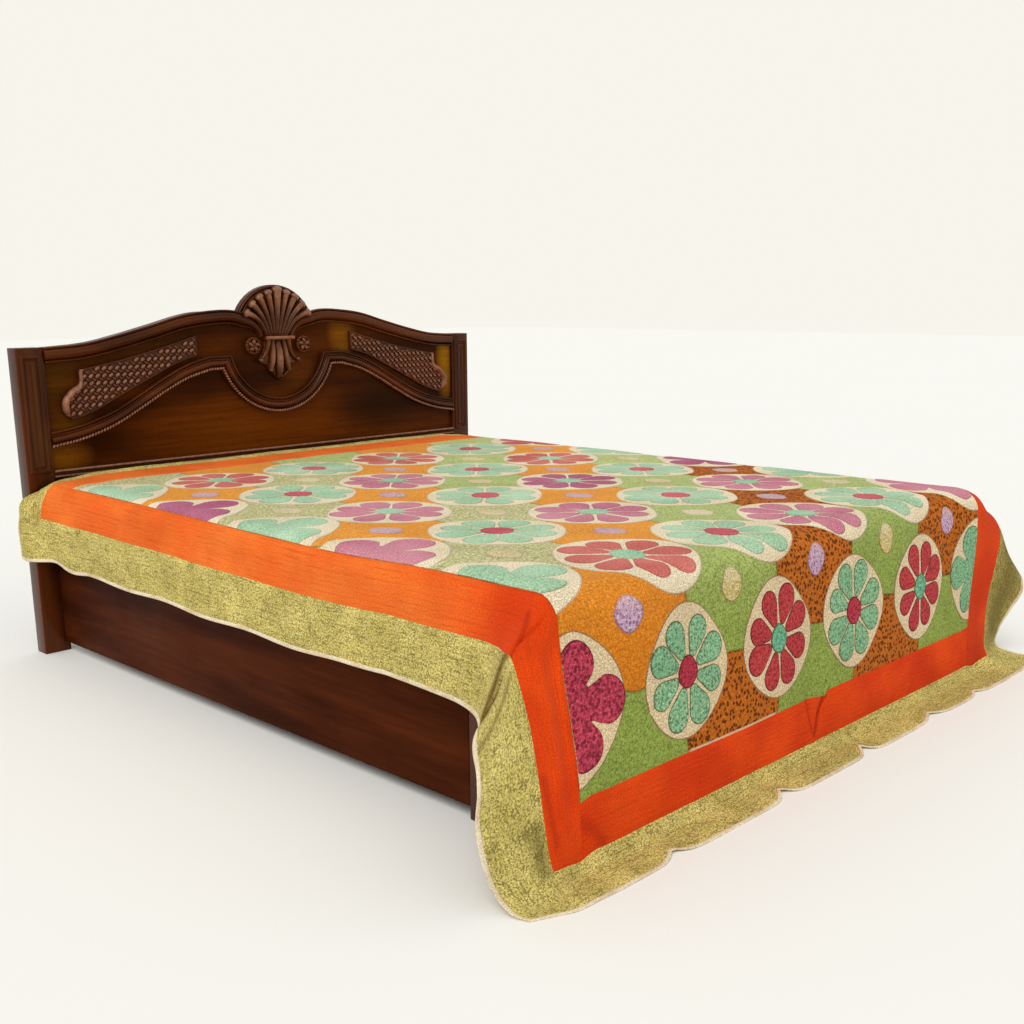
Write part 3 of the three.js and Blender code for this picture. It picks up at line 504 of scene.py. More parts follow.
def orange_cloth():
    material, s, body = new_material("orange_cloth", CLOTH_LOOK)
    flat = flat_sizes(s)
    soft = s.ramp(s.noise(flat, 5.0, 3.0), 0.3, 0.72)
    along = s.mix(soft, (240, 104, 32), (255, 128, 48))
    # Painted shade: a darker, redder copy of the orange for where it hangs over the foot.
    shaded_foot_colour = s.mix(soft, (222, 58, 5), (242, 78, 10))
    base = s.mix(at_foot(s), along, shaded_foot_colour)
    # Painted shade along the folds and down the right border.
    base = painted_shade_bands(s, flat, base, ORANGE_PAINTED_SHADE)
    streak = s.noise(s.stretched(flat, (6.0, 130.0, 1.0)), 1.0, 3.0, 0.6)
    base = s.mix(s.ramp(streak, 0.52, 0.72, 0.0, 0.3), base, (190, 52, 6))
    rows = s.group(STITCHES, flat=flat, row=0.0125, stitch=0.0062)
    base = s.tinted(base, rows["Thread"], 0.3, (140, 34, 10))
    cloth_finish(s, body, flat, base, extra=s.times(rows["Dip"], -0.45), grain=0.55)
    return material


def olive_cloth():
    material, s, body = new_material("olive_cloth", CLOTH_LOOK)
    flat = flat_sizes(s)
    patchy = s.ramp(s.noise(flat, 11.0, 4.0, 0.6), 0.32, 0.7)
    base = s.mix(patchy, (192, 172, 86), (232, 212, 122))
    fine = s.ramp(s.noise(flat, 230.0, 3.0, 0.7), 0.42, 0.62)
    base = s.tinted(base, fine, 0.55, (246, 232, 152))
    fleck = s.group(SPOTS, flat=flat, spacing=0.0042, size=0.52, share=0.6)["Mask"]
    base = s.tinted(base, fleck, 0.7, (96, 84, 30))
    streak = s.noise(s.stretched(flat, (9.0, 170.0, 1.0)), 1.0, 3.0, 0.65)
    base = s.mix(s.ramp(streak, 0.54, 0.7, 0.0, 0.55), base, (108, 94, 34))
    # Painted shade along the folds and down the right border.
    base = painted_shade_bands(s, flat, base, OLIVE_PAINTED_SHADE)
    crosswise = s.noise(s.stretched(flat, (150.0, 14.0, 1.0)), 1.0, 2.0, 0.6)
    held = s.ramp(s.noise(flat, 8.0, 2.0), 0.46, 0.6)
    base = s.mix(s.times(s.ramp(crosswise, 0.6, 0.72, 0.0, 0.6), held), base, (88, 76, 28))
    rows = s.group(STITCHES, flat=flat, row=0.0115, stitch=0.0065)
    base = s.tinted(base, rows["Thread"], 0.5, (88, 74, 28))
    cloth_finish(s, body, flat, base, extra=s.times(rows["Dip"], -0.5), grain=1.15)
    return material


def binding_cloth():
    material, s, body = new_material("binding_cloth", CLOTH_LOOK)
    flat = flat_sizes(s)
    soiled = s.ramp(s.noise(flat, 16.0, 4.0, 0.6), 0.4, 0.75)
    base = s.mix(soiled, (238, 222, 190), (212, 182, 138))
    cloth_finish(s, body, flat, base, relief=0.0008)
    return material


# The paler colours painted on the cut shapes where the top of the bed is lit.
PALE, PALE_GREEN, PALE_PINK = (250, 238, 208), (208, 236, 200), (236, 176, 164)
# The cut shapes' cottons: light, dark, outline and the paler colour painted where the top is lit, then the
# spots printed on them, how large they are and what share of places has one.
COTTONS = {
    "cream": ((242, 224, 188), (218, 190, 144), (110, 62, 34), PALE),
    "mint": ((176, 214, 168), (114, 168, 124), (90, 66, 32), PALE_GREEN, (38, 92, 66), 0.36, 0.75),
    "red": ((214, 84, 80), (170, 46, 54), (78, 18, 24), (236, 150, 132), (120, 20, 36), 0.36, 0.6),
    "crimson": ((212, 82, 98), (162, 42, 66), (72, 12, 28), PALE_PINK, (74, 10, 34), 0.44, 0.8),
    "rose": ((216, 116, 140), (172, 72, 104), (90, 34, 52), (228, 164, 172), (120, 30, 70), 0.36, 0.6),
    "purple": ((196, 90, 128), (146, 48, 90), (72, 20, 46), (204, 130, 152), (84, 14, 54), 0.36, 0.7),
    "red_middle": ((210, 74, 88), (166, 42, 60), (84, 24, 24), (232, 128, 136), (120, 20, 44), 0.36, 0.7),
    "mint_middle": ((140, 204, 162), (86, 158, 122), (54, 84, 48), PALE_GREEN, (60, 110, 60), 0.36, 0.6),
    "lilac": ((220, 188, 204), (184, 148, 178), (138, 92, 110), (226, 186, 170), (122, 44, 92), 0.36, 0.8),
    "straw": ((230, 214, 156), (196, 172, 104), (134, 96, 44), (238, 226, 196), (170, 116, 48), 0.36, 0.6),
}


def applique_cloth(name, light, dark, outline, lit_top_colour, spots=None, spot_size=0.36, share=0.8):
    """A cut shape: mottled cloth painted lighter where lit on top, its turned edge outlined in stitches."""
    outline_width = 0.004
    material, s, body = new_material(name, CLOTH_LOOK)
    flat = flat_sizes(s)
    tone = s.add("Attribute", attribute_name="tone").outputs["Fac"]
    inset = s.add("Attribute", attribute_name="inset").outputs["Fac"]
    mottle = s.ramp(s.noise(flat, 130.0, 3.0, 0.65), 0.36, 0.64)
    base = s.mix(mottle, dark, light)
    base = s.tinted(base, tone, 0.35, dark)
    if spots:
        mask = s.group(SPOTS, flat=flat, spacing=0.0105, size=spot_size, share=share)["Mask"]
        base = s.tinted(base, mask, 0.6, spots)
    ragged = s.plus(inset, s.times(s.minus(s.noise(flat, 150.0), 0.5), 0.002))
    edge = s.ramp(ragged, outline_width * 0.45, outline_width, 1.0, 0.0)
    base = s.tinted(base, edge, 0.75, outline)
    # Painted light: paler on the top of the bed, unevenly.
    uneven = s.ramp(s.noise(flat, 5.0, 2.0), 0.3, 0.7, 0.32, 0.68)
    base = s.mix(s.times(on_top(s), uneven), base, lit_top_colour)
    cloth_finish(s, body, flat, base, relief=0.0013, grain=1.4)
    return material


# ---------------------------------------------------------------- wood materials

# Painted light and shade on the panel's polish, lighter golden patches and darker ones: across and up
# (mm), reach across and up, colour and strength.
PANEL_PAINTED_LIGHT = [
    (806, 860, 34, 150, (176, 120, 14), 0.85),
    (296, 950, 46, 62, (150, 96, 14), 0.65),
    (-800, 840, 60, 110, (84, 54, 8), 0.5),
    (-810, 600, 80, 44, (150, 92, 12), 0.62),
    (-560, 930, 260, 50, (70, 40, 6), 0.4),
    (-120, 640, 330, 110, (118, 60, 6), 0.8),
    (430, 600, 330, 60, (104, 52, 6), 0.6),
    (90, 830, 70, 60, (112, 60, 10), 0.6),
    (480, 700, 190, 90, (30, 14, 2), 0.9),
    (-330, 820, 150, 60, (40, 14, 2), 0.8),
    (-110, 850, 80, 80, (40, 14, 2), 0.8),
    (-760, 700, 60, 40, (120, 74, 10), 0.5),
]
# Painted highlights down the framed panels of the head posts, in the same columns.
POST_PAINTED_HIGHLIGHTS = [(-873, 740, 14, 160, (112, 62, 22), 0.4), (-846, 640, 30, 60, (96, 56, 14), 0.4)]
# Painted highlights on the crowns: from and to how far out they lie (mm), the colour and its strength.
CROWN_HIGHLIGHT_MOULDING = (21, 23.8, (150, 92, 60), 0.5)
CROWN_HIGHLIGHT_CARVED = (13, 18.5, (176, 124, 98), 0.7)
CROWN_HIGHLIGHT_SHELL = (20, 33, (186, 130, 102), 0.65)
WARM_TINT = (1.0, 0.6, 0.36, 1.0)
GRAIN_TURNS = {"x": (0.0, 0.0, 0.0), "y": (0.0, 0.0, math.pi / 2), "z": (0.0, math.pi / 2, 0.0)}


def polished_wood(name, axis, deep, warm, shine=0.3, rough=0.24, painted_light=(), crown_highlight=None):
    """Dark polished mahogany grained along one axis of the bed; painted light on its face and crowns."""
    uniform = {"Coat Weight": 0.1 * shine, "Coat Roughness": 0.12}
    uniform.update({"Specular IOR Level": shine, "Specular Tint": WARM_TINT})
    material, s, body = new_material(name, uniform)
    place = s.place()
    grain = s.group(GRAIN, along=s.stretched(place, (1.0, 1.0, 1.0), GRAIN_TURNS[axis]))
    base = s.mix(grain["Figure"], deep, warm)
    parts = s.split(place)
    out = s.minus(FRONT_Y + FACE * MM, parts["Y"])
    facing = s.ramp(out, -9 * MM, -3 * MM) if painted_light else None
    # Painted light and shade: lighter and darker patches on the face.
    for across, up, reach_across, reach_up, colour, strength in painted_light:
        dx = s.divided(s.minus(parts["X"], MIDDLE_X + across * MM), reach_across * MM)
        dz = s.divided(s.minus(parts["Z"], up * MM), reach_up * MM)
        away = s.plus(s.times(dx, dx), s.times(dz, dz))
        away = s.plus(away, s.minus(s.noise(place, 6.0, 2.0), 0.5))
        painted_patch = s.times(s.ramp(away, -0.6, 2.6, strength, 0.0), facing)
        base = s.mix(painted_patch, base, colour)
    base = s.tinted(base, grain["Lines"], 0.3, (34, 10, 3))
    base = s.tinted(base, grain["Pores"], 0.5, (20, 6, 2))
    # Painted highlights along the crowns, broken up by noise.
    if crown_highlight:
        low, high, colour, strength = crown_highlight
        highlight_breakup = s.ramp(s.noise(place, 60.0, 2.0), 0.3, 0.7, 0.5, 1.0)
        crown = s.ramp(out, low * MM, high * MM, 0.0, strength)
        base = s.mix(s.times(crown, highlight_breakup), base, colour)
    s.put(body.inputs["Base Color"], base)
    smear = s.noise(place, 5.0, 4.0, 0.6)
    s.put(body.inputs["Roughness"], s.ramp(smear, 0.3, 0.75, rough - 0.06, rough + 0.1))
    bumped(s, body, s.minus(s.times(grain["Lines"], 0.3), grain["Pores"]), 0.00025)
    return material


def board_wood():
    material, s, body = new_material("plain_board", {})
    place = s.place()
    grain = s.group(GRAIN, along=s.stretched(place, (1.0, 1.0, 1.0), GRAIN_TURNS["y"]))
    base = s.mix(grain["Figure"], (150, 108, 66), (186, 146, 98))
    base = s.tinted(base, grain["Lines"], 0.4, (122, 80, 44))
    s.put(body.inputs["Base Color"], base)
    s.put(body.inputs["Roughness"], s.ramp(grain["Lines"], 0.0, 1.0, 0.5, 0.7))
    bumped(s, body, grain["Lines"], 0.0003)
    return material


def ticking_cloth():
    """Woven mattress ticking: fine stripes along the bed on a pale ground."""
    stripe_pitch = 0.03
    material, s, body = new_material("mattress_ticking", CLOTH_LOOK)
    place = s.place()
    parts = s.split(place)
    stripe = s.math("ABSOLUTE", s.minus(s.math("FRACT", s.divided(parts["X"], stripe_pitch)), 0.5))
    line = s.ramp(stripe, 0.05, 0.09, 1.0, 0.0)
    weave = s.group(WEAVE, flat=place, thread=0.0009)
    base = s.mix(s.times(line, 0.7), (226, 221, 208), (92, 108, 140))
    base = s.tinted(base, weave["Gaps"], 0.2, (150, 140, 120))
    s.put(body.inputs["Base Color"], base)
    quilt = s.noise(place, 18.0, 2.0)
    bumped(s, body, s.plus(quilt, s.times(weave["Height"], 0.1)), 0.004)
    return material


# ---------------------------------------------------------------- how the cloth lies

CLOTH_HALF = 1.5
FIELD_HALF_WIDTH = 862.5
ORANGE_WIDTH = 115
OLIVE_WIDTH = 125
FOOT_OLIVE_WIDTH = 109
BINDING_WIDTH = 10
U_FIELD = FIELD_HALF_WIDTH
U_SEAM = U_FIELD + ORANGE_WIDTH
U_BINDING = U_SEAM + OLIVE_WIDTH
U_HEM = U_BINDING + BINDING_WIDTH
V_BINDING = BINDING_WIDTH
V_OLIVE = V_BINDING + OLIVE_WIDTH
V_FIELD = V_OLIVE + ORANGE_WIDTH
V_FIELD_END = V_FIELD + 2326
V_ORANGE_END = V_FIELD_END + ORANGE_WIDTH
V_OLIVE_END = V_ORANGE_END + FOOT_OLIVE_WIDTH
V_HEM = V_OLIVE_END + BINDING_WIDTH

TOP_HEIGHT = 539
SIDE_OUT = 885
SIDE_BEND = 50
SIDE_FLARE = 0.03
FIELD_START_Y = -174
FOOT_BEND_Y = -2070
FOOT_BEND = 60
FOOT_LEAN = math.radians(4)
FLOOR_BEND = 36
TUCK_V = 108
TUCK_BEND = 20
# The top is a little higher by the head, where it rolls over into the tuck.
HEAD_LIFT = 10
HEAD_ROLL = 4
TOP_EDGE_FADE = (700, 840)
TOP_SWELL = 2.5
TUCK_SPREAD = 31
FOOT_WAVE = 4
SIDE_WAVE = 3
# Where along the cloth each of these shows: the range it grows over and the range it fades over.
HEAD_LIFT_FADE = (110, 330)
SLIP_START, SLIP_FADE = (300, 1500), (1500, 1850)
EASE_ALONG = ((2000, 2220), (2240, 2560))
SIDE_WAVE_ALONG = ((200, 400), (1500, 1700))
SWELL_ALONG = ((120, 300), (1980, 2120))
FOOT_WAVE_ALONG = ((2200, 2400), (2560, 2690))
CORNER_ROLL_ALONG = ((2225, 2300), (2500, 2650))
SLIDE_ALONG = (1950, 2150)

# Head corner: where six lines along the cloth lie (out, along, up), row by row.
HEAD_ROWS = [0, 50, 100, 135, 190, 250]
HEAD_CORNER = {
    "field": [
        (891, -17, 449), (878, -16, 494), (861, -29, 531),
        (861, -50, 534), (861, -110, 533), (861, -173, 532),
    ],
    "turn": [
        (912, -14, 457), (907, -17, 501), (884, -25, 519),
        (880, -44, 515), (878, -104, 513), (878, -171, 513),
    ],
    "edge": [
        (921, 12, 461), (926, 1, 498), (901, -22, 496),
        (892, -40, 492), (887, -98, 490), (886, -168, 489),
    ],
    "ridge": [
        (923, 40, 460), (938, 19, 473), (915, -21, 467),
        (900, -37, 464), (890, -94, 462), (888, -166, 461),
    ],
    "seam": [
        (930, 54, 430), (939, 21, 436), (918, -18, 434),
        (905, -34, 433), (893, -92, 429), (890, -165, 426),
    ],
    "hem": [
        (933, 58, 300), (936, 19, 298), (923, -20, 299),
        (912, -39, 300), (900, -98, 304), (895, -164, 286),
    ],
}
# Foot corners, row by row: the row, the olive seam, the hem, and how far the border folds in between.
LEFT_FOOT_CORNER = [
    (1850, (889, -1774, 420), (896, -1774, 282), 0),
    (1950, (893, -1874, 422), (908, -1872, 282), 0),
    (2030, (905, -1953, 426), (938, -1948, 284), 0),
    (2090, (926, -2006, 430), (974, -1996, 286), 0),
    (2130, (947, -2038, 433), (999, -2022, 286), 0),
    (2170, (960, -2062, 437), (1018, -2032, 276), 8),
    (2220, (970, -2082, 432), (1036, -2044, 268), 14),
    (2270, (975, -2097, 412), (1062, -2073, 266), 10),
    (2330, (977, -2114, 376), (1086, -2104, 258), 4),
    (2400, (974, -2130, 318), (1100, -2121, 222), 0),
    (2500, (966, -2143, 222), (1112, -2128, 165), 0),
    (2600, (957, -2152, 122), (1110, -2142, 95), 0),
    (2691, (950, -2168, 32), (1095, -2157, 36), 0),
    (2750, (962, -2210, 3), (1088, -2190, 8), 0),
    (2810, (985, -2262, 1.5), (1074, -2226, 1.5), 0),
]
RIGHT_FOOT_CORNER = [
    (1850, (889, -1774, 424), (896, -1774, 288), 0),
    (1950, (893, -1874, 424), (906, -1872, 286), 0),
    (2030, (905, -1958, 426), (932, -1955, 286), 0),
    (2090, (930, -2020, 430), (970, -2015, 286), 0),
    (2130, (955, -2060, 436), (1005, -2056, 284), 0),
    (2170, (975, -2095, 442), (1042, -2088, 278), 10),
    (2220, (990, -2130, 440), (1080, -2122, 272), 18),
    (2270, (994, -2152, 418), (1108, -2152, 266), 10),
    (2330, (990, -2162, 378), (1130, -2178, 250), 4),
    (2400, (982, -2160, 318), (1135, -2186, 205), 0),
    (2500, (974, -2150, 222), (1118, -2162, 142), 0),
    (2600, (970, -2148, 122), (1108, -2136, 78), 0),
    (2691, (980, -2160, 30), (1125, -2130, 22), 0),
    (2750, (1000, -2206, 3), (1150, -2175, 4), 0),
    (2810, (1005, -2262, 1.5), (1160, -2235, 1.5), 0),
]
# A fold runs from the olive seam to the hem at each foot corner: where its crest and its valley meet
# the seam and the hem, how deep it is there, and how soon the cloth recovers past the valley.
LEFT_FOLD = ((2212, 2117), (2215, 2200), 28, 68)
RIGHT_FOLD = ((2222, 2140), (2226, 2212), 12, 70)
FOLD_STEEPNESS = 0.55
FOLD_PUSH = (-0.69, 0.7)
# What differs between the sides: how the cover has eased along, slipped out and slid, and its waves.
LEFT = {"sign": -1, "corner": LEFT_FOOT_CORNER, "fold": LEFT_FOLD, "wave": 430, "phase": 0.6}
RIGHT = {"sign": 1, "corner": RIGHT_FOOT_CORNER, "fold": RIGHT_FOLD, "wave": 510, "phase": 2.1}
LEFT.update(ease=35, slip=12, slide=0)
RIGHT.update(ease=-30, slip=0, slide=35)
HEAD_BLEND = (380, 440)
FOOT_BLEND_V = 1700
GUIDE_INNER, GUIDE_TOP, GUIDE_BEND, GUIDE_TURN, GUIDE_EDGE, GUIDE_RIDGE = 700, 780, 835, 888, 913.5, 942

# Creases pressed into the cloth: from, to, depth and half width.
CREASES = [
    ((50, 2545), (-12, 2666), 6, 14),
    ((-50, 2560), (-22, 2662), 3, 12),
    ((-553, 2418), (-644, 2461), 3, 12),
    ((158, 2419), (105, 2501), 3, 12),
    ((-977, 2180), (-900, 2202), 7, 13),
]
# Where the hem lifts and pulls in a little along the foot: middle, pull, reach to each side.
HEM_PULLS = [(-680, 26, 58), (-274, 34, 52), (88, 36, 46), (436, 26, 76), (715, 20, 66)]
# The pleat in the middle of the foot: its two sides at the top, its point, and how far it has slipped.
PLEAT_LEFT, PLEAT_RIGHT, PLEAT_TOP = -49, 60, 2556
PLEAT_POINT = (-14, 2664)
PLEAT_SLIP = 16
# Below it one part of the olive border laps over the next, from under the pleat to the hem.
LAP_LINE = ((-10, 2682), (94, 2812))
LAP_HEIGHT = 5


def through(knots, points, x):
    """A smooth curve through points, one for each knot, evaluated at every x."""
    knots = np.asarray(knots, float)
    count = len(knots)
    x = np.asarray(x, float)
    points = np.broadcast_to(np.asarray(points, float), (count, len(x), 3))
    k = np.clip(np.searchsorted(knots, x, side="left") - 1, 0, count - 2)
    gaps = np.diff(knots)[:, None, None]
    rises = np.diff(points, axis=0) / gaps
    inner = (rises[:-1] * gaps[1:] + rises[1:] * gaps[:-1]) / (gaps[1:] + gaps[:-1])
    slopes = np.concatenate([rises[:1], inner, rises[-1:]])
    each = np.arange(len(x))
    span = (knots[k + 1] - knots[k])[:, None]
    t = ((x - knots[k]) / span[:, 0])[:, None]
    t2, t3 = t * t, t * t * t
    start = points[k, each] * (2 * t3 - 3 * t2 + 1) + slopes[k, each] * (t3 - 2 * t2 + t) * span
    return start + points[k + 1, each] * (3 * t2 - 2 * t3) + slopes[k + 1, each] * (t3 - t2) * span


def side_profile(a):
    past = np.maximum(a - (SIDE_OUT - SIDE_BEND), 0)
    turn = np.minimum(past / SIDE_BEND, math.pi / 2)
    hang = np.maximum(past - SIDE_BEND * math.pi / 2, 0)
    out = np.where(past > 0, SIDE_OUT - SIDE_BEND + SIDE_BEND * np.sin(turn), a)
    return out + SIDE_FLARE * hang, SIDE_BEND * (1 - np.cos(turn)) + hang


def length_profile(v):
    turn = np.minimum(np.maximum(TUCK_V - v, 0) / TUCK_BEND, math.pi / 2)
    down = np.maximum(TUCK_V - v - TUCK_BEND * math.pi / 2, 0)
    tuck_y = FIELD_START_Y + V_FIELD - TUCK_V + TUCK_BEND * np.sin(turn)
    tuck_drop = TUCK_BEND * (1 - np.cos(turn)) + down
    full = math.pi / 2 - FOOT_LEAN
    flat_end = V_FIELD + FIELD_START_Y - FOOT_BEND_Y
    past = np.maximum(v - flat_end, 0)
    turn = np.minimum(past / FOOT_BEND, full)
    y = np.where(v < flat_end, FIELD_START_Y - (v - V_FIELD), FOOT_BEND_Y) - FOOT_BEND * np.sin(turn)
    drop = FOOT_BEND * (1 - np.cos(turn))
    bends = (FOOT_BEND + FLOOR_BEND) * (1 - math.cos(full))
    straight = (TOP_HEIGHT - CLOTH_HALF - bends) / math.sin(full)
    rest = np.maximum(past - FOOT_BEND * full, 0)
    hang = np.minimum(rest, straight)
    y = y - hang * math.cos(full)
    drop = drop + hang * math.sin(full)
    rest = np.maximum(rest - straight, 0)
    turn = np.minimum(rest / FLOOR_BEND, full)
    y = y - FLOOR_BEND * (math.sin(full) - np.sin(full - turn)) - np.maximum(rest - FLOOR_BEND * full, 0)
    drop = drop + FLOOR_BEND * (np.cos(full - turn) - math.cos(full))
    tucked = v < TUCK_V
    return np.where(tucked, tuck_y, y), np.where(tucked, tuck_drop, drop)


def plain_drape(side, a, v):
    """The drape of one side, before its corners: out from the middle, along, up."""
    a, v = np.broadcast_arrays(np.asarray(a, float), np.asarray(v, float))
    slip = side["slip"] * smooth(U_FIELD - 260, U_FIELD, a) * between(SLIP_START, SLIP_FADE, v)
    out, side_drop = side_profile(a + slip)
    y, drop = length_profile(v)
    ease = side["ease"] * smooth(620, 900, a) * between(*EASE_ALONG, v)
    flat_top = 1 - smooth(*TOP_EDGE_FADE, a)
    lift = HEAD_LIFT * flat_top * (1 - smooth(*HEAD_LIFT_FADE, v))
    roll = HEAD_ROLL * flat_top * np.exp(-(((v - TUCK_V) / 20) ** 2))
    roll = roll * (1 + 0.35 * np.sin(a / 74 + side["phase"]))
    low = smooth(GUIDE_EDGE, U_HEM, a) * between(*SIDE_WAVE_ALONG, v)
    wave = np.sin(v / side["wave"] * 2 * math.pi + side["phase"]) + 0.7 * np.sin(v / 83 + side["phase"])
    spread = TUCK_SPREAD * smooth(600, 835, a) * (1 - smooth(0, 100, v))
    out = out + spread + SIDE_WAVE * (1 + wave / 1.7) * low
    hem_wave = SIDE_WAVE * low * np.sin(v / 61 + 2 * side["phase"])
    return np.stack([out, y + ease, TOP_HEIGHT + lift + roll - side_drop - drop + hem_wave], axis=-1)


def along_rows(side, rows, points, a, join, v):
    """One line of a corner's table, followed along v; the joining rows lie on the plain drape."""
    joined = [(row, plain_drape(side, a, row)) for row in join]
    table = sorted([*joined, *zip(rows, points)], key=lambda pair: pair[0])
    at = np.array([point for _, point in table], float)[:, None, :]
    return through([row for row, _ in table], at, v)


def head_corner(side, a, v):
    names = ("field", "turn", "edge", "ridge", "seam", "hem")
    places = (U_FIELD, GUIDE_TURN, GUIDE_EDGE, GUIDE_RIDGE, U_SEAM, U_HEM)
    inner = [plain_drape(side, at, v) for at in (GUIDE_INNER, GUIDE_TOP, GUIDE_BEND)]
    outer = [
        along_rows(side, HEAD_ROWS, HEAD_CORNER[name], at, HEAD_BLEND, v)
        for name, at in zip(names, places)
    ]
    return through([GUIDE_INNER, GUIDE_TOP, GUIDE_BEND, *places], np.stack(inner + outer), a)


def foot_corner(side, a, v):
    corner = side["corner"]
    rows = [row[0] for row in corner]
    join = [FOOT_BLEND_V]
    seam = along_rows(side, rows, [row[1] for row in corner], U_SEAM, join, v)
    hem = along_rows(side, rows, [row[2] for row in corner], U_HEM, join, v)
    tucks = np.array([(0, 0, 0)] + [(row[3], 0, 0) for row in corner], float)[:, None, :]
    tuck = through([FOOT_BLEND_V, *rows], tucks, v)
    field = plain_drape(side, U_FIELD, v)
    share = (GUIDE_EDGE - U_FIELD) / (U_SEAM - U_FIELD)
    straight = field + (seam - field) * share
    top_v = np.minimum(v, FIELD_START_Y + V_FIELD - FOOT_BEND_Y - 76)
    rounded = plain_drape(side, GUIDE_EDGE, top_v) - plain_drape(side, U_FIELD, top_v) + field
    edge = rounded + (straight - rounded) * smooth(2050, 2220, v)[:, None]
    inner = [plain_drape(side, at, v) for at in (GUIDE_INNER, GUIDE_TOP, GUIDE_BEND)]
    middle = (U_SEAM + U_HEM) / 2
    places = [GUIDE_INNER, GUIDE_TOP, GUIDE_BEND, U_FIELD, GUIDE_EDGE, U_SEAM, middle, U_HEM]
    points = np.stack([*inner, field, edge, seam, (seam + hem) / 2 - tuck, hem])
    return through(places, points, a)


def hem_pull(u, v):
    """How far the foot hem is drawn in at u."""
    low = smooth(V_ORANGE_END - 10, V_HEM, v)
    pull = np.zeros_like(u)
    for middle, depth, reach in HEM_PULLS:
        pull = pull + depth * np.exp(-2.4 * np.abs((u - middle) / reach) ** 1.3)
    return pull * low


def fold_depth(fold, a, v):
    """How far the fold at a foot corner pushes the cloth back."""
    crest, valley, depth, recovers = fold
    share = np.clip((a - U_SEAM) / (U_HEM - U_SEAM), 0, 1)
    start = crest[0] + (crest[1] - crest[0]) * share
    end = valley[0] + (valley[1] - valley[0]) * share
    pushed = smooth(start, start + FOLD_STEEPNESS * (end - start), v)
    return depth * share * pushed * (1 - smooth(end, end + recovers, v))


def pleat_slip(u, v):
    """How far the cloth has slipped down in the pleat: little by its left side, most by its right."""
    share = np.clip((v - PLEAT_TOP) / (PLEAT_POINT[1] - PLEAT_TOP), 0, 1)
    left = PLEAT_LEFT + (PLEAT_POINT[0] - PLEAT_LEFT) * share
    right = PLEAT_RIGHT + (PLEAT_POINT[0] - PLEAT_RIGHT) * share
    across = np.clip((u - left) / np.maximum(right - left, 1), 0, 1) ** 1.4
    inside = across * (1 - smooth(right - 1, right + 6, u))
    return PLEAT_SLIP * inside * between((2470, PLEAT_TOP), (2568, 2625), v)


def draped(u, v):
    """Where each point of the cloth's middle surface lies, in millimetres from the bed's middle line."""
    u, v = np.asarray(u, float), np.asarray(v, float)
    v = v + pleat_slip(u, v)
    place = np.zeros((len(u), 3))
    flat = np.abs(u)
    slid = between((600, U_FIELD), (U_FIELD, U_SEAM), flat) * smooth(*SLIDE_ALONG, v)
    for side in (LEFT, RIGHT):
        mine = (u < 0) if side is LEFT else (u >= 0)
        a = flat - side["slide"] * slid
        foot = mine & (a > GUIDE_TOP) & (v > FOOT_BLEND_V)
        head = mine & (a > GUIDE_TOP) & (v < HEAD_BLEND[1]) & ~foot
        rest = mine & ~foot & ~head
        for chosen, shape in ((foot, foot_corner), (head, head_corner), (rest, plain_drape)):
            if chosen.any():
                place[chosen] = shape(side, a[chosen], v[chosen])
        a, my_u, my_v = a[mine], u[mine], v[mine]
        fold = fold_depth(side["fold"], a, my_v)
        inside = (1 - smooth(*TOP_EDGE_FADE, a)) * between(*SWELL_ALONG, my_v)
        hills = 1 + np.sin(my_u / 190 + 0.4) * np.cos(my_v / 230)
        drop = (1 - smooth(740, 900, a)) * between(*FOOT_WAVE_ALONG, my_v)
        leaning = 1 + np.sin(my_u / 120 + 1.1) * np.cos(my_v / 260 + my_u / 500)
        place[mine, 0] = side["sign"] * (place[mine, 0] + FOLD_PUSH[0] * fold)
        place[mine, 1] += FOLD_PUSH[1] * fold - FOOT_WAVE * drop * leaning
        place[mine, 2] += TOP_SWELL * inside * hills
    pull = hem_pull(u, v)
    place[:, 1] += pull
    place[:, 2] += 0.22 * pull * smooth(V_OLIVE_END - 30, V_HEM, v)
    place[:, 2] = np.maximum(place[:, 2], CLOTH_HALF)
    return place


def crease_depth(u, v):
    depth = np.zeros_like(u)
    for start, end, deep, reach in CREASES:
        run = np.array(end, float) - start
        du, dv = u - start[0], v - start[1]
        share = np.clip((du * run[0] + dv * run[1]) / (run @ run), 0, 1)
        away = np.hypot(du - share * run[0], dv - share * run[1])
        depth += deep * (1 - smooth(0, reach, away))
    return depth * (1 - smooth(2610, 2665, v))


def lap_height(u, v):
    """One part of the foot's olive border lying over the next, with a sharp edge between them."""
    (start_u, start_v), (end_u, end_v) = LAP_LINE
    share = np.clip((v - start_v) / (end_v - start_v), 0, 1)
    edge = start_u + (end_u - start_u) * share
    over = 1 - smooth(edge - 3.5, edge, u)
    return LAP_HEIGHT * over * np.exp(-np.maximum(edge - u, 0) / 45) * smooth(start_v - 20, start_v + 25, v)


def corner_roll(u, v):
    """The left border by the foot corner rolls: a soft valley with a ridge beside it."""
    a = -u
    shape = 6 * np.exp(-(((a - 925) / 17) ** 2)) - 6 * np.exp(-(((a - 885) / 15) ** 2))
    return shape * between(*CORNER_ROLL_ALONG, v)


def puckers(u, v):
    """The small unevenness of quilted cloth, in millimetres."""
    fine = np.sin(u / 13.1 + 2.2 * np.sin(v / 37)) * np.sin(v / 11.7 + 1.9 * np.sin(u / 29))
    broad = np.sin(u / 47 + 1.3 * np.sin(v / 91)) * np.cos(v / 53 + 1.1 * np.sin(u / 77))
    return 0.22 * fine + 0.5 * broad


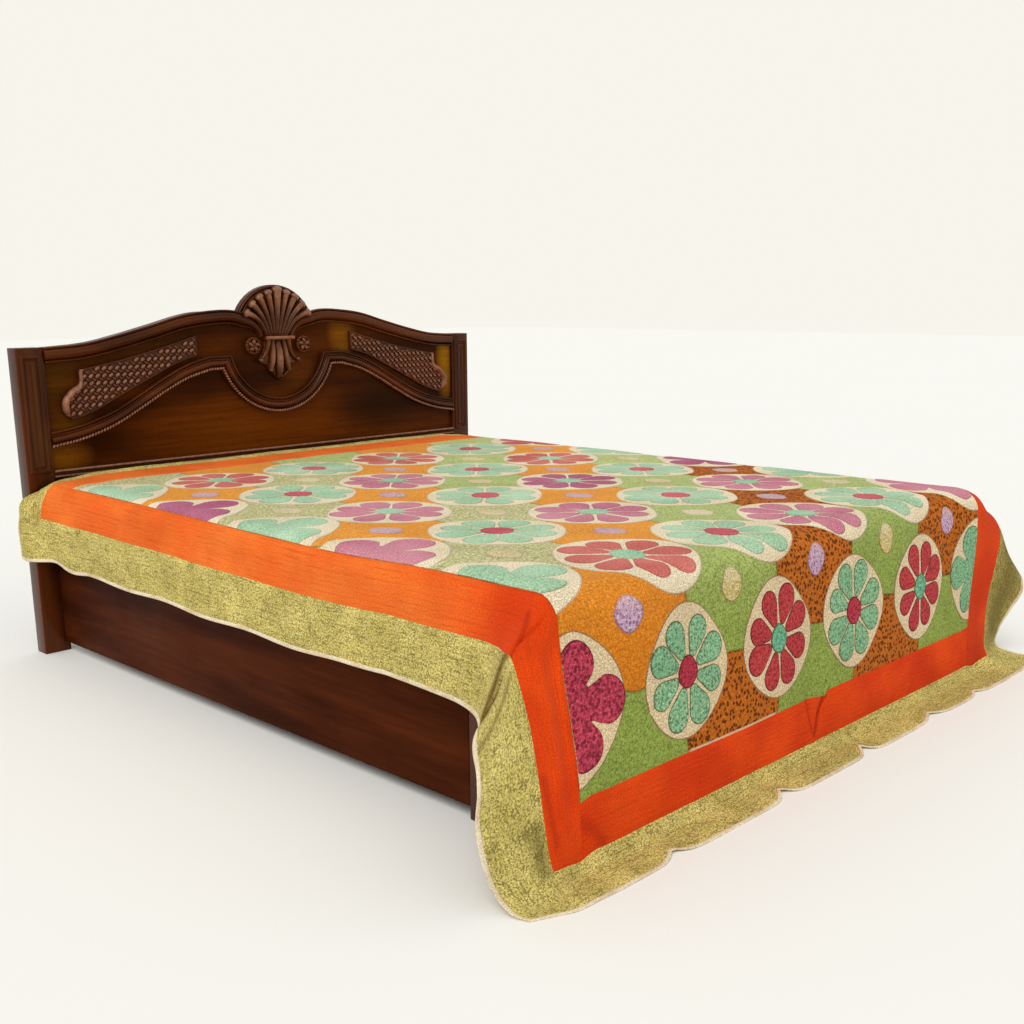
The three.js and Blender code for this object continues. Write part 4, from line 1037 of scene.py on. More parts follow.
def lay(u, v):
    """The cloth's middle surface and its normal at every (u, v)."""
    step = 1.0
    across = draped(u + step, v) - draped(u - step, v)
    along = draped(u, v + step) - draped(u, v - step)
    normal = np.cross(along, across)
    normal /= np.maximum(np.linalg.norm(normal, axis=1), 1e-9)[:, None]
    raised = puckers(u, v) - crease_depth(u, v) + lap_height(u, v) + corner_roll(u, v)
    middle = draped(u, v) + normal * raised[:, None]
    return middle, normal


def to_frame(points):
    """Millimetres from the bed's own middle line and headboard front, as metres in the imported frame."""
    points = np.array(points, float)
    points[:, 2] = np.maximum(points[:, 2], 0.2)
    return points * MM + np.array([MIDDLE_X, FRONT_Y, 0.0])


# ---------------------------------------------------------------- cloth pieces

GRID = 12.0
STRIP_GRID = 9.0
EDGE_STEPS = (1.2, 3.0, 6.0, 11.0)
BINDING_STEPS = np.array([0, 0.6, 1.6, 3.2, 5.0, 6.8, 8.4, 9.4, 10.0])
# Extra lines by the pleat and down the cloth where it folds at the foot corners.
PLEAT_LINES = [-60 + 4 * i for i in range(41)]
FOLD_LINES = [2080 + 6 * i for i in range(38)] + [2500 + 6 * i for i in range(28)]


def stations(start, end, spacing, extra=()):
    """Lines across a piece: close together by its two seams, evenly spaced between them."""
    edges = [start, *[start + d for d in EDGE_STEPS], *[end - d for d in EDGE_STEPS], end]
    inner_start, inner_end = start + EDGE_STEPS[-1], end - EDGE_STEPS[-1]
    count = max(int(round((inner_end - inner_start) / spacing)), 1)
    inner = [inner_start + (inner_end - inner_start) * i / count for i in range(1, count)]
    chosen = sorted({*edges, *inner, *[x for x in extra if inner_start < x < inner_end]})
    kept = [chosen[0]]
    for x in chosen[1:]:
        if x - kept[-1] > 0.4:
            kept.append(x)
    return np.array(kept)


def add_flat_map(piece, flat):
    """Stores each vertex's place on the flat cloth, in metres, as the piece's UV map."""
    mesh = piece.data
    layer = mesh.uv_layers.new(name="flat")
    index = np.zeros(len(mesh.loops), np.int32)
    mesh.loops.foreach_get("vertex_index", index)
    layer.data.foreach_set("uv", (np.asarray(flat, float)[index] * MM).ravel())


def add_number(piece, name, values):
    attribute = piece.data.attributes.new(name, "FLOAT", "POINT")
    attribute.data.foreach_set("value", np.asarray(values, float))


def edge_distance(us, vs):
    uu, vv = np.meshgrid(us, vs)
    du = np.minimum(uu - us[0], us[-1] - uu)
    dv = np.minimum(vv - vs[0], vs[-1] - vv)
    return uu.ravel(), vv.ravel(), du.ravel(), dv.ravel()


def softly_shaded(piece):
    """Shades a cloth piece smooth, except at its cut edges."""
    piece.data.polygons.foreach_set("use_smooth", np.ones(len(piece.data.polygons), bool))
    piece.data.set_sharp_from_angle(angle=math.radians(60))


def closed_sheet(name, us, vs, thickness, turned):
    """A cut piece between station lines, with an upper and an under face and closed edges."""
    u, v, du, dv = edge_distance(us, vs)
    upper, lower = thickness(du, dv)
    middle, normal = lay(u, v)
    points = np.concatenate([middle + normal * upper[:, None], middle - normal * lower[:, None]])
    width, length = len(us), len(vs)
    index = np.arange(width * length).reshape(length, width)
    under = index + width * length
    a, b, c, d = index[:-1, :-1], index[1:, :-1], index[1:, 1:], index[:-1, 1:]
    faces = [np.stack([a, b, c, d], -1).reshape(-1, 4)]
    a, b, c, d = under[:-1, :-1], under[1:, :-1], under[1:, 1:], under[:-1, 1:]
    faces.append(np.stack([a, d, c, b], -1).reshape(-1, 4))
    for top, low in (
        (index[:, 0], under[:, 0]),
        (index[-1, :], under[-1, :]),
        (index[::-1, -1], under[::-1, -1]),
        (index[0, ::-1], under[0, ::-1]),
    ):
        faces.append(np.stack([top[:-1], low[:-1], low[1:], top[1:]], -1))
    piece = mesh_object(name, to_frame(points), np.concatenate(faces))
    flat = np.stack([v, u] if turned else [u, v], -1)
    add_flat_map(piece, np.concatenate([flat, flat]))
    softly_shaded(piece)
    return piece, np.concatenate([u, u]), np.concatenate([v, v])


# How far from a seam its stitching holds the cloth down, in millimetres.
SEAM_PINCH = 2.6


def sewn(du, dv):
    """Full thickness inside a piece, pinched down to the stitching at its seams."""
    away = np.minimum(du, dv)
    pinch = np.exp(-away / SEAM_PINCH)
    return CLOTH_HALF * (1 - 0.75 * pinch) + 0.5 * smooth(2, 11, away), CLOTH_HALF * (1 - 0.4 * pinch)


def rolled(du, dv):
    """The binding's round section, worked out from its shorter way across."""
    half = BINDING_WIDTH / 2
    away = np.clip(np.minimum(du, dv), 0, half) / half
    bulge = np.sqrt(np.clip(1 - (1 - away) ** 2, 0, 1))
    return 0.5 + 2.0 * bulge, 0.4 + 1.2 * bulge


ROW_PLACES = [250, 640, 1030, 1420, 1810, 2150]
COLUMN_PITCH = 345.0


def patch_place(u, v):
    """Columns and rows of flowers as whole numbers; patches lie between them."""
    column = u / COLUMN_PITCH + 2.5
    knots = [-140.0, *ROW_PLACES, 2490.0]
    row = np.interp(v - V_FIELD, knots, np.arange(-1, 7, dtype=float))
    return column, row


def cloth_layout():
    """Every cut piece of the cover: its node, its cloth and its ranges of u and v."""
    layout = [("patchwork_field", "field", (-U_FIELD, U_FIELD), (V_FIELD, V_FIELD_END))]
    # Each border: its cloth, its inner and outer edge across, and where its head and foot strips lie.
    borders = (
        ("orange_border", "orange", U_FIELD, U_SEAM, (V_OLIVE, V_FIELD), (V_FIELD_END, V_ORANGE_END)),
        ("olive_border", "olive", U_SEAM, U_BINDING, (V_BINDING, V_OLIVE), (V_ORANGE_END, V_OLIVE_END)),
        ("binding", "binding", U_BINDING, U_HEM, (0, V_BINDING), (V_OLIVE_END, V_HEM)),
    )
    for border, cloth, inner, outer, head, foot in borders:
        layout.append((f"{border}_left", cloth, (-outer, -inner), (head[0], foot[1])))
        layout.append((f"{border}_right", cloth, (inner, outer), (head[0], foot[1])))
        layout.append((f"{border}_head", cloth, (-inner, inner), head))
        layout.append((f"{border}_foot", cloth, (-inner, inner), foot))
    return layout


def cloth_pieces(cloths):
    """The cover's cut pieces by node: each with its flat size."""
    made = {}
    for node, cloth, us, vs in cloth_layout():
        along = us[1] - us[0] < vs[1] - vs[0] and cloth != "field"
        if cloth == "binding":
            across_u = BINDING_STEPS + us[0] if along else stations(*us, GRID)
            across_v = stations(*vs, GRID) if along else BINDING_STEPS + vs[0]
            thickness = rolled
        else:
            spacing = GRID if cloth == "field" else STRIP_GRID
            across_u = stations(*us, spacing, () if along else PLEAT_LINES)
            across_v = stations(*vs, spacing, FOLD_LINES)
            thickness = sewn
        piece, u, v = closed_sheet(f"{node}_cloth", across_u, across_v, thickness, along)
        if cloth == "field":
            column, row = patch_place(u, v)
            place = np.stack([column, row, np.zeros_like(row)], -1)
            attribute = piece.data.attributes.new("patch", "FLOAT_VECTOR", "POINT")
            attribute.data.foreach_set("vector", place.ravel())
        slot = "patchwork" if cloth == "field" else f"{cloth}_cloth"
        dressed(piece, cloths[cloth], slot, node)
        made[node] = (piece, (us[1] - us[0], vs[1] - vs[0]))
    return made


# ---------------------------------------------------------------- applique


# A cut shape's pad: how much its middle stands above its edge, where its underside lies, and how far
# in and how deep its edge is rounded, in millimetres.
PAD_CROWN, PAD_UNDER = 0.35, 0.4
PAD_ROUND, PAD_ROUND_DEPTH = 3.0, 0.5


class CutShapes:
    """Shapes cut from one cloth and sewn down: each a thin closed pad that follows the drape."""

    def __init__(self, name, raised):
        self.name = name
        self.raised = raised
        self.flat, self.height, self.inset, self.tone, self.faces = [], [], [], [], []

    def add(self, centre, outline, tone, rings, closed=True):
        """outline holds offsets from the centre, in order round it; an open one ends on a seam."""
        outline = np.asarray(outline, float)
        count = len(outline)
        base = len(self.flat)
        reach = np.hypot(outline[:, 0], outline[:, 1])
        for layer in (0, 1):
            self.flat.append(tuple(centre))
            self.height.append(self.raised + PAD_CROWN if layer == 0 else PAD_UNDER)
            self.inset.append(float(reach.mean()))
            for ring in rings:
                for offset, far in zip(outline, reach):
                    self.flat.append((centre[0] + offset[0] * ring, centre[1] + offset[1] * ring))
                    edge = 1 - min((1 - ring) * far / PAD_ROUND, 1.0)
                    top = self.raised + PAD_CROWN * (1 - ring**2) - PAD_ROUND_DEPTH * edge**2
                    self.height.append(top if layer == 0 else PAD_UNDER)
                    self.inset.append((1 - ring) * float(far))
        size = 1 + count * len(rings)
        self.tone += [tone] * (2 * size)
        steps = range(count) if closed else range(count - 1)

        def at(layer, ring, i):
            return base + layer * size + 1 + ring * count + (i % count)

        top, low = base, base + size
        for i in steps:
            self.faces.append((top, at(0, 0, i + 1), at(0, 0, i)))
            self.faces.append((low, at(1, 0, i), at(1, 0, i + 1)))
            for ring in range(len(rings) - 1):
                a, b = at(0, ring, i), at(0, ring, i + 1)
                c, d = at(0, ring + 1, i + 1), at(0, ring + 1, i)
                self.faces.append((a, b, c, d))
                a, b = at(1, ring, i), at(1, ring, i + 1)
                c, d = at(1, ring + 1, i + 1), at(1, ring + 1, i)
                self.faces.append((a, d, c, b))
            last = len(rings) - 1
            self.faces.append((at(0, last, i), at(0, last, i + 1), at(1, last, i + 1), at(1, last, i)))
        if not closed:
            for i, flip in ((0, False), (count - 1, True)):
                uppers = [top] + [at(0, ring, i) for ring in range(len(rings))]
                lowers = [low] + [at(1, ring, i) for ring in range(len(rings))]
                for k in range(len(uppers) - 1):
                    wall = (uppers[k], uppers[k + 1], lowers[k + 1], lowers[k])
                    self.faces.append(wall[::-1] if flip else wall)

    def build(self, material):
        flat = np.array(self.flat, float)
        middle, normal = lay(flat[:, 0], flat[:, 1])
        heights = np.array(self.height) + CLOTH_HALF
        piece = mesh_object(self.name, to_frame(middle + normal * heights[:, None]), self.faces)
        add_flat_map(piece, flat)
        add_number(piece, "inset", np.array(self.inset) * MM)
        add_number(piece, "tone", self.tone)
        mesh = bmesh.new()
        mesh.from_mesh(piece.data)
        bmesh.ops.recalc_face_normals(mesh, faces=mesh.faces)
        mesh.to_mesh(piece.data)
        mesh.free()
        softly_shaded(piece)
        return dressed(piece, material, "patchwork")


def round_outline(radius_u, radius_v, wobble, count, start=0.0, sweep=2 * math.pi, closed=True):
    """A hand-cut round: nearly an ellipse, with a slight wobble."""
    a, b = wobble
    outline = []
    steps = count if closed else count - 1
    for i in range(count):
        angle = start + sweep * i / steps
        grow = 1 + 0.022 * math.cos(2 * angle + a) + 0.02 * math.cos(3 * angle + b)
        grow += 0.03 * math.cos(4 * angle)
        outline.append((radius_u * grow * math.cos(angle), radius_v * grow * math.sin(angle)))
    return outline


def evened(points, longest):
    """The same closed outline with points added wherever two are far apart."""
    more = []
    for (x1, y1), (x2, y2) in zip(points, points[1:] + points[:1]):
        count = max(int(math.ceil(math.hypot(x2 - x1, y2 - y1) / longest)), 1)
        more += [(x1 + (x2 - x1) * k / count, y1 + (y2 - y1) * k / count) for k in range(count)]
    return more


# A petal's two rounds: how far each lies from the flower's middle, and its radius.
PETAL_NEAR = (46.0, 13.5)
PETAL_FAR = (94.0, 33.5)
PETAL_STEP = 13


def petal_outline(angle, scale, plump):
    """A rounded teardrop: the hull of a small circle by the flower's middle and a large one outside."""
    near, near_radius = PETAL_NEAR
    far, far_radius = PETAL_FAR[0], PETAL_FAR[1] * plump
    lean = math.asin((far_radius - near_radius) / (far - near))
    points = []
    arc = 12
    for i in range(arc + 1):
        turn = -(math.pi / 2 + lean) + (math.pi + 2 * lean) * i / arc
        points.append((far + far_radius * math.cos(turn), far_radius * math.sin(turn)))
    for i in range(7):
        turn = (math.pi / 2 + lean) + (math.pi - 2 * lean) * i / 6
        points.append((near + near_radius * math.cos(turn), near_radius * math.sin(turn)))
    points = evened(points, PETAL_STEP)
    middle = near + 0.55 * (far - near)
    c, s = math.cos(angle), math.sin(angle)
    centre = (middle * scale * c, middle * scale * s)
    outline = []
    for x, y in points:
        x -= middle
        outline.append((scale * (x * c - y * s), scale * (x * s + y * c)))
    return centre, outline


HALF_FLOWER_LOBES = ((0, 92, 46), (70, 80, 43), (-70, 80, 43))
HALF_FLOWER_CORE = 58
# The half flowers along the left seam sit a little nearer the head than their rows.
LEFT_HALVES_SHIFT = 30


def half_flower_outline(toward, scale):
    """Three big round lobes that run together, cut off at the border's seam."""
    outline = []
    for i in range(61):
        angle = -math.pi / 2 + math.pi * i / 60
        radius = HALF_FLOWER_CORE
        for lean, away, size in HALF_FLOWER_LOBES:
            turn = angle - math.radians(lean)
            inner = size**2 - (away * math.sin(turn)) ** 2
            if inner > 0:
                radius = max(radius, away * math.cos(turn) + math.sqrt(inner))
        outline.append((toward * scale * radius * math.cos(angle), scale * radius * math.sin(angle)))
    return outline if toward > 0 else outline[::-1]


# The cloth of the petals in each row's flowers that aren't mint, from the left seam to the right.
PETAL_CLOTHS = [
    ("red", "red", "red"),
    ("purple", "rose", "red"),
    ("rose", "purple", "purple"),
    ("rose", "rose", "rose"),
    ("red", "rose", "rose"),
    ("crimson", "red", "red"),
]
# Flowers are cut larger on the top of the bed than in the row that hangs at the foot.
TOP_ROWS_SIZE = 1.19
MEDALLION = 139
HALF_MEDALLION = (142, 145)
FLOWER_MIDDLE = (33, 34)
DOT = (37, 44)
# The dots above the foot row are shorter and lie a little lower.
LOW_DOT = (37, 38)
LOW_DOT_SHIFT = 16
# How far each cut shape stands up from the field, in millimetres.
CREAM_RISE, PETAL_RISE, MIDDLE_RISE, DOT_RISE = 1.5, 2.6, 3.5, 1.7
# Rings of points from the centre to the edge, in shares of the way out.
WIDE_RINGS = (0.1, 0.2, 0.3, 0.4, 0.5, 0.6, 0.7, 0.8, 0.88, 0.94, 0.975, 1.0)
SMALL_RINGS = (0.2, 0.4, 0.6, 0.76, 0.88, 0.95, 1.0)


def applique(cloths):
    """Flower medallions with eight petals and a middle, and an oval dot in each patch."""
    draw = random.Random(7)
    made = {"cream": CutShapes("cream_medallions", CREAM_RISE)}
    for kind in ("mint", "red", "crimson", "rose", "purple"):
        made[kind] = CutShapes(f"{kind}_petals", PETAL_RISE)
    for kind in ("red", "mint"):
        made[f"{kind}_middle"] = CutShapes(f"{kind}_flower_middles", MIDDLE_RISE)
    for kind in ("lilac", "straw"):
        made[kind] = CutShapes(f"{kind}_dots", DOT_RISE)
    last_row = len(ROW_PLACES) - 1
    for j, row in enumerate(ROW_PLACES):
        size = 1.0 if j == last_row else TOP_ROWS_SIZE
        for i in range(6):
            centre = ((i - 2.5) * COLUMN_PITCH, V_FIELD + row)
            wobble = (draw.uniform(0, 6.28), draw.uniform(0, 6.28))
            is_mint = (i + j) % 2 == 0
            kind = "mint" if is_mint else PETAL_CLOTHS[j][i // 2]
            if i in (0, 5):
                half_flower(made, kind, centre, 1 if i == 0 else -1, size, wobble, draw)
            else:
                middle = "red_middle" if is_mint else "mint_middle"
                whole_flower(made, kind, middle, centre, size, wobble, draw)
    rows = [V_FIELD + row for row in ROW_PLACES]
    for i in range(5):
        for j in range(5):
            is_low = j == last_row - 1
            lower = LOW_DOT_SHIFT if is_low else 0
            centre = ((i - 2) * COLUMN_PITCH + draw.uniform(-5, 5), (rows[j] + rows[j + 1]) / 2 + lower)
            wobble = (draw.uniform(0, 6.28), draw.uniform(0, 6.28))
            kind = "straw" if (i + j) % 2 else "lilac"
            outline = round_outline(*(LOW_DOT if is_low else DOT), wobble, 28)
            made[kind].add(centre, outline, draw.random(), SMALL_RINGS)
    return [shapes.build(cloths[key]) for key, shapes in made.items()]


def half_flower(made, kind, centre, toward, size, wobble, draw):
    """A flower cut in half by a side seam; toward is the side it opens to."""
    on_top_rows = size > 1
    if toward > 0 and on_top_rows:
        centre = (centre[0], centre[1] - LEFT_HALVES_SHIFT)
    radius_u, radius_v = HALF_MEDALLION
    half = round_outline(radius_u * size, radius_v * size, wobble, 49, -math.pi / 2, math.pi, False)
    outline = [(toward * x, y) for x, y in half]
    made["cream"].add(centre, outline[::toward], draw.random(), WIDE_RINGS, False)
    lobes = half_flower_outline(toward, size * (0.99 if on_top_rows else 1.06))
    made[kind].add(centre, lobes, draw.random(), WIDE_RINGS, False)


def whole_flower(made, kind, middle, centre, size, wobble, draw):
    outline = round_outline(MEDALLION * size, MEDALLION * size, wobble, 72)
    made["cream"].add(centre, outline, draw.random(), WIDE_RINGS)
    for k in range(8):
        angle = math.radians(22.5 + 45 * k + draw.uniform(-2.5, 2.5))
        scale = size * draw.uniform(0.95, 1.03)
        offset, outline = petal_outline(angle, scale, draw.uniform(0.93, 1.05))
        here = (centre[0] + offset[0], centre[1] + offset[1])
        made[kind].add(here, outline, draw.random(), SMALL_RINGS)
    outline = round_outline(FLOWER_MIDDLE[0] * size, FLOWER_MIDDLE[1] * size, wobble, 24)
    made[middle].add(centre, outline, draw.random(), SMALL_RINGS)


# ---------------------------------------------------------------- wooden bed

# The headboard is drawn flat, in millimetres across from its middle and up from the floor. Heights are
# measured out from the front of its panel, which lies behind the front of the posts.
FACE = 14
INSIDE = 830.7
TOP_EDGE = [(150, 1031), (290, 1033), (370, 1022), (470, 996), (592, 966), (702, 944), (831, 935)]
SCROLL = [(54, 947), (60, 970), (76, 993), (102, 1013), (130, 1025)]
SCROLL_WIDTHS = (0.4, 0.5, 0.66, 0.84, 0.95)
RAIL_WIDTH = 50
ARCH_DIP_RADIUS = 195
ARCH_DIP_CENTRE = 933
ARCH_SHOULDER = 888
ARCH_EDGE = [(275, 889), (360, 866), (440, 830), (535, 779), (625, 734), (735, 699), (831, 683)]
# Below the arch's upper edge: its three fine beads (from, to, height at their feet and crowns), the broad
# round with its fillet, and the rope's core and middle.
ARCH_BEADS = ((0, 7, 12, 18), (7, 11, 8, 9), (11, 16, 13, 17))
ARCH_ROUND = 15.5
ROPE_CORE, ROPE_MIDDLE = 40.4, 45.5
ROPE_PITCH = 10.5
ROPE_TWIST = math.radians(40)
BOTTOM_EDGE = 569
# The lattice's four edges: along the top, down its curled outer end, back along the bottom, and up.
LATTICE_TOP = [(320, 953), (450, 918), (585, 887), (722, 862)]
LATTICE_END = [(722, 862), (727, 818), (757, 796), (778, 770), (773, 734), (757, 718)]
LATTICE_BOTTOM = [(757, 718), (690, 738), (600, 780), (488, 832), (386, 876), (322, 894)]
CARVING_ASIDE = 11
CREST_RADIUS = 169
SHELL_CENTRE = 950
ROSETTE = (104, 917)


def finished(piece, angle=40):
    """Merges doubles, turns the faces outward and shades a hard piece."""
    pick(piece)
    bpy.ops.object.mode_set(mode="EDIT")
    bpy.ops.mesh.select_all(action="SELECT")
    bpy.ops.mesh.remove_doubles(threshold=0.00003)
    bpy.ops.mesh.normals_make_consistent(inside=False)
    bpy.ops.object.mode_set(mode="OBJECT")
    return shaded(piece, angle)


def drawn(name, points, closed, radii=None):
    """A line drawn flat: across and up."""
    curve = bpy.data.curves.new(name, "CURVE")
    curve.dimensions = "3D"
    curve.twist_mode = "Z_UP"
    spline = curve.splines.new("POLY")
    spline.points.add(len(points) - 1)
    for k, (point, (x, z)) in enumerate(zip(spline.points, points)):
        point.co = (x * MM, z * MM, 0.0, 1.0)
        point.radius = 1.0 if radii is None else radii[k]
    spline.use_cyclic_u = closed
    return linked(name, curve)


def stood_up(piece, out=0.0):
    """Stands a piece that was drawn flat against the headboard's panel, so far out from it."""
    pick(piece)
    bpy.ops.object.convert(target="MESH")
    piece = bpy.context.object
    piece.data.name = piece.name
    piece.rotation_euler = (math.pi / 2, 0.0, 0.0)
    piece.location = (MIDDLE_X, FRONT_Y + (FACE - out) * MM, 0.0)
    return finished(place_applied(piece))


def moulding(name, line, section, closed=False, radii=None):
    """Runs a section along a line: its x is to the right of the line, its y out from the panel."""
    profile = drawn(f"{name}_section", section, True)
    piece = drawn(name, line, closed, radii)
    piece.data.bevel_mode = "OBJECT"
    piece.data.bevel_object = profile
    piece.data.use_fill_caps = not closed
    made = stood_up(piece)
    bpy.data.objects.remove(profile)
    return made


def slab(name, outline, low, high):
    """An outline made solid between two heights, with eased edges."""
    ease = 1.2
    piece = drawn(name, outline, True)
    piece.data.dimensions = "2D"
    piece.data.fill_mode = "BOTH"
    piece.data.extrude = ((high - low) / 2 - ease) * MM
    piece.data.bevel_depth = ease * MM
    piece.data.bevel_resolution = 2
    piece.data.offset = -ease * MM
    return stood_up(piece, (low + high) / 2)


def bead(start, end, foot, crown, steps=8):
    """Section points of one rounded bead between two places across the line."""
    middle, half = (start + end) / 2, (end - start) / 2
    turns = [math.pi * i / steps for i in range(steps + 1)]
    return [(middle - half * math.cos(t), foot + (crown - foot) * math.sin(t)) for t in turns]


def smooth_line(points, step=7.0):
    """Points every few millimetres along a smooth line through the given ones."""
    corners = np.array([(x, z, 0.0) for x, z in points])
    runs = np.concatenate([[0], np.cumsum(np.hypot(*np.diff(corners[:, :2], axis=0).T))])
    at = np.linspace(0, runs[-1], max(int(runs[-1] / step), 2) + 1)
    return [(min(x, INSIDE), z) for x, z, _ in through(runs, corners[:, None, :], at)]


def reflected(points):
    return [(-x, z) for x, z in reversed(points)]


def mirrored_copy(piece, name):
    """The same piece on the other side of the middle line, with its own mesh."""
    copy = linked(name, piece.data.copy())
    copy.data.name = name
    copy.scale.x = -1
    copy.location.x = 2 * MIDDLE_X
    return finished(place_applied(copy))


def joined(name, pieces):
    deselect_all()
    for piece in pieces:
        piece.select_set(True)
    bpy.context.view_layer.objects.active = pieces[0]
    bpy.ops.object.join()
    made = bpy.context.object
    made.name = name
    made.data.name = name
    return made


def set_aside(piece):
    """The carving's middle lies a little to the right of the middle between the posts."""
    mesh = piece.data
    points = np.zeros(len(mesh.vertices) * 3)
    mesh.vertices.foreach_get("co", points)
    share = (points[0::3] - MIDDLE_X) / (INSIDE * MM)
    points[0::3] += CARVING_ASIDE * MM * (1 - share**2)
    mesh.vertices.foreach_set("co", points)
    mesh.update()


def repeated(name, master, places):
    """One joined mesh made of many copies of a small piece; the master is used up."""
    count = len(master.data.vertices)
    corners = np.zeros(count * 3)
    master.data.vertices.foreach_get("co", corners)
    corners = np.c_[corners.reshape(-1, 3), np.ones(count)]
    faces = [tuple(face.vertices) for face in master.data.polygons]
    points, sides = [], []
    for k, place in enumerate(places):
        points.append((corners @ np.array(place).T)[:, :3])
        sides += [tuple(corner + k * count for corner in face) for face in faces]
    made = mesh_object(name, np.concatenate(points), sides)
    bpy.data.objects.remove(master)
    return finished(made, 60)


def pebble(name, segments=12, rings=8):
    deselect_all()
    bpy.ops.mesh.primitive_uv_sphere_add(segments=segments, ring_count=rings, radius=1)
    bpy.context.object.name = name
    return bpy.context.object


def on_face(x, z, out, turn, length, width, height):
    """Where a small oval lies on the headboard: its place, how it is turned and its half sizes."""
    place = Matrix.Translation((MIDDLE_X + x * MM, FRONT_Y + (FACE - out) * MM, z * MM))
    size = Matrix.Diagonal((length * MM, height * MM, width * MM, 1.0))
    return place @ Matrix.Rotation(-turn, 4, "Y") @ size


def arch_line(below):
    """The arch moulding's line, left to right, a distance below its upper edge."""
    radius = ARCH_DIP_RADIUS + below
    shoulder = ARCH_SHOULDER - 0.9 * below
    end = math.asin((ARCH_DIP_CENTRE - shoulder) / radius)
    dip = []
    for i in range(41):
        angle = math.pi / 2 - (math.pi / 2 - end) * i / 40
        dip.append((radius * math.cos(angle), ARCH_DIP_CENTRE - radius * math.sin(angle)))
    half = dip + smooth_line([(x, z - 0.95 * below) for x, z in ARCH_EDGE])
    return reflected(half[1:]) + half


def spaced(line, pitch):
    """Points a pitch apart along a line, each with the line's direction there."""
    line = np.array(line, float)
    runs = np.concatenate([[0], np.cumsum(np.hypot(*np.diff(line, axis=0).T))])
    at = np.arange(pitch / 2, runs[-1], pitch)
    x, z = np.interp(at, runs, line[:, 0]), np.interp(at, runs, line[:, 1])
    ahead = np.minimum(at + 3, runs[-1])
    turn = np.arctan2(np.interp(ahead, runs, line[:, 1]) - z, np.interp(ahead, runs, line[:, 0]) - x)
    return list(zip(x, z, turn))


def inside_outline(x, z, outline):
    inside = False
    for (x1, z1), (x2, z2) in zip(outline, outline[1:] + outline[:1]):
        if (z1 > z) != (z2 > z) and x < (x2 - x1) * (z - z1) / (z2 - z1) + x1:
            inside = not inside
    return inside


def box_between(name, low, high):
    deselect_all()
    middle = [(a + b) / 2 for a, b in zip(low, high)]
    bpy.ops.mesh.primitive_cube_add(size=1, location=middle)
    piece = bpy.context.object
    piece.name = name
    piece.data.name = name
    piece.scale = [b - a for a, b in zip(low, high)]
    return place_applied(piece)


def board(name, node, material):
    """A plank the size of its CAD solid, with its edges eased."""
    soft_edge = 3.0
    piece = box_between(name, *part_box(node))
    applied(piece, "BEVEL", width=soft_edge * MM, segments=3, limit_method="ANGLE")
    return dressed(finished(piece), material, "wood", node)


POST_STEPS = [(3, 4), (6, 0), (3, -6), (5, 0), (3, 4), (3, -1), (6, 0), (2, -3), (1, 0)]


def framed_panel(side, material):
    """The nested frames on a head post: an outer bead, a raised frame and a sunk field."""
    node = f"post_frame_{side}"
    low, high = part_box(node)
    low.y = high.y - 2 * MM
    piece = box_between(f"post_panel_{side}", low, high)
    pick(piece)
    bpy.ops.object.mode_set(mode="EDIT")
    bpy.ops.mesh.select_all(action="DESELECT")
    bpy.ops.object.mode_set(mode="OBJECT")
    for face in piece.data.polygons:
        face.select = face.normal.y < -0.9
    bpy.ops.object.mode_set(mode="EDIT")
    for inset, rise in POST_STEPS:
        bpy.ops.mesh.inset(thickness=inset * MM, depth=rise * MM)
    bpy.ops.object.mode_set(mode="OBJECT")
    applied(piece, "BEVEL", width=0.8 * MM, segments=2, limit_method="ANGLE")
    return dressed(finished(piece), material, "carved_wood", node)


def top_rails(material):
    line = smooth_line(SCROLL + TOP_EDGE, 6.0)
    reach = [x for x, _ in SCROLL]
    widths = [float(np.interp(x, reach, SCROLL_WIDTHS)) for x, _ in line]
    edge = RAIL_WIDTH
    section = [(0, 0), *bead(0, 7, 14, 17), *bead(7.5, 39, 11, 23), *bead(42, edge, 8, 15), (edge, 0)]
    right = moulding("top_rail_moulding_right", line, section, radii=widths)
    left = mirrored_copy(right, "top_rail_moulding_left")
    dressed(right, material, "wood", "top_rail_right")
    dressed(left, material, "wood", "top_rail_left")


def arch(material, carved):
    """The arch: a fine bead, a groove, a broad round and a fillet, then a twisted rope."""
    parts = []
    overlap = 0.4
    for k, (start, end, foot, crown) in enumerate(ARCH_BEADS):
        width = end - start + overlap
        section = [(0, 0), *bead(0, width, foot, crown), (width, 0)]
        parts.append(moulding(f"arch_part_{k}", arch_line(start), section))
    section = [(0, 0), *bead(0, 21, 8, 22), *bead(21, 25, 8, 10, 4), (25, 0)]
    parts.append(moulding("arch_part_round", arch_line(ARCH_ROUND), section))
    dressed(joined("arch_mouldings", parts), material, "wood", "arch_moulding")
    core = moulding("rope_core", arch_line(ROPE_CORE), [(0, 0), *bead(0, 10.4, 4, 13), (10.4, 0)])
    beads = [
        on_face(x, z, 14.5, turn + ROPE_TWIST, 6.6, 3.8, 5.6)
        for x, z, turn in spaced(arch_line(ROPE_MIDDLE), ROPE_PITCH)
    ]
    twist = repeated("rope_twist", pebble("rope_bead_master", 10, 6), beads)
    dressed(joined("rope_moulding", [core, twist]), carved, "carved_wood", "rope_bead")


def bottom_moulding(carved):
    section = [(0, 0), *bead(0, 9, 12, 19), *bead(10, 15, 10, 13), *bead(16, 26, 10, 17), (26, 0)]
    piece = moulding("bottom_beads", [(-INSIDE, BOTTOM_EDGE), (INSIDE, BOTTOM_EDGE)], section)
    dressed(piece, carved, "carved_wood", "bottom_moulding")


WEAVE_PITCH = 15.5
# The weave's crossings that can fall inside the rim, counted along its two diagonals.
WEAVE_UP, WEAVE_DOWN = range(50, 80), range(-8, 34)


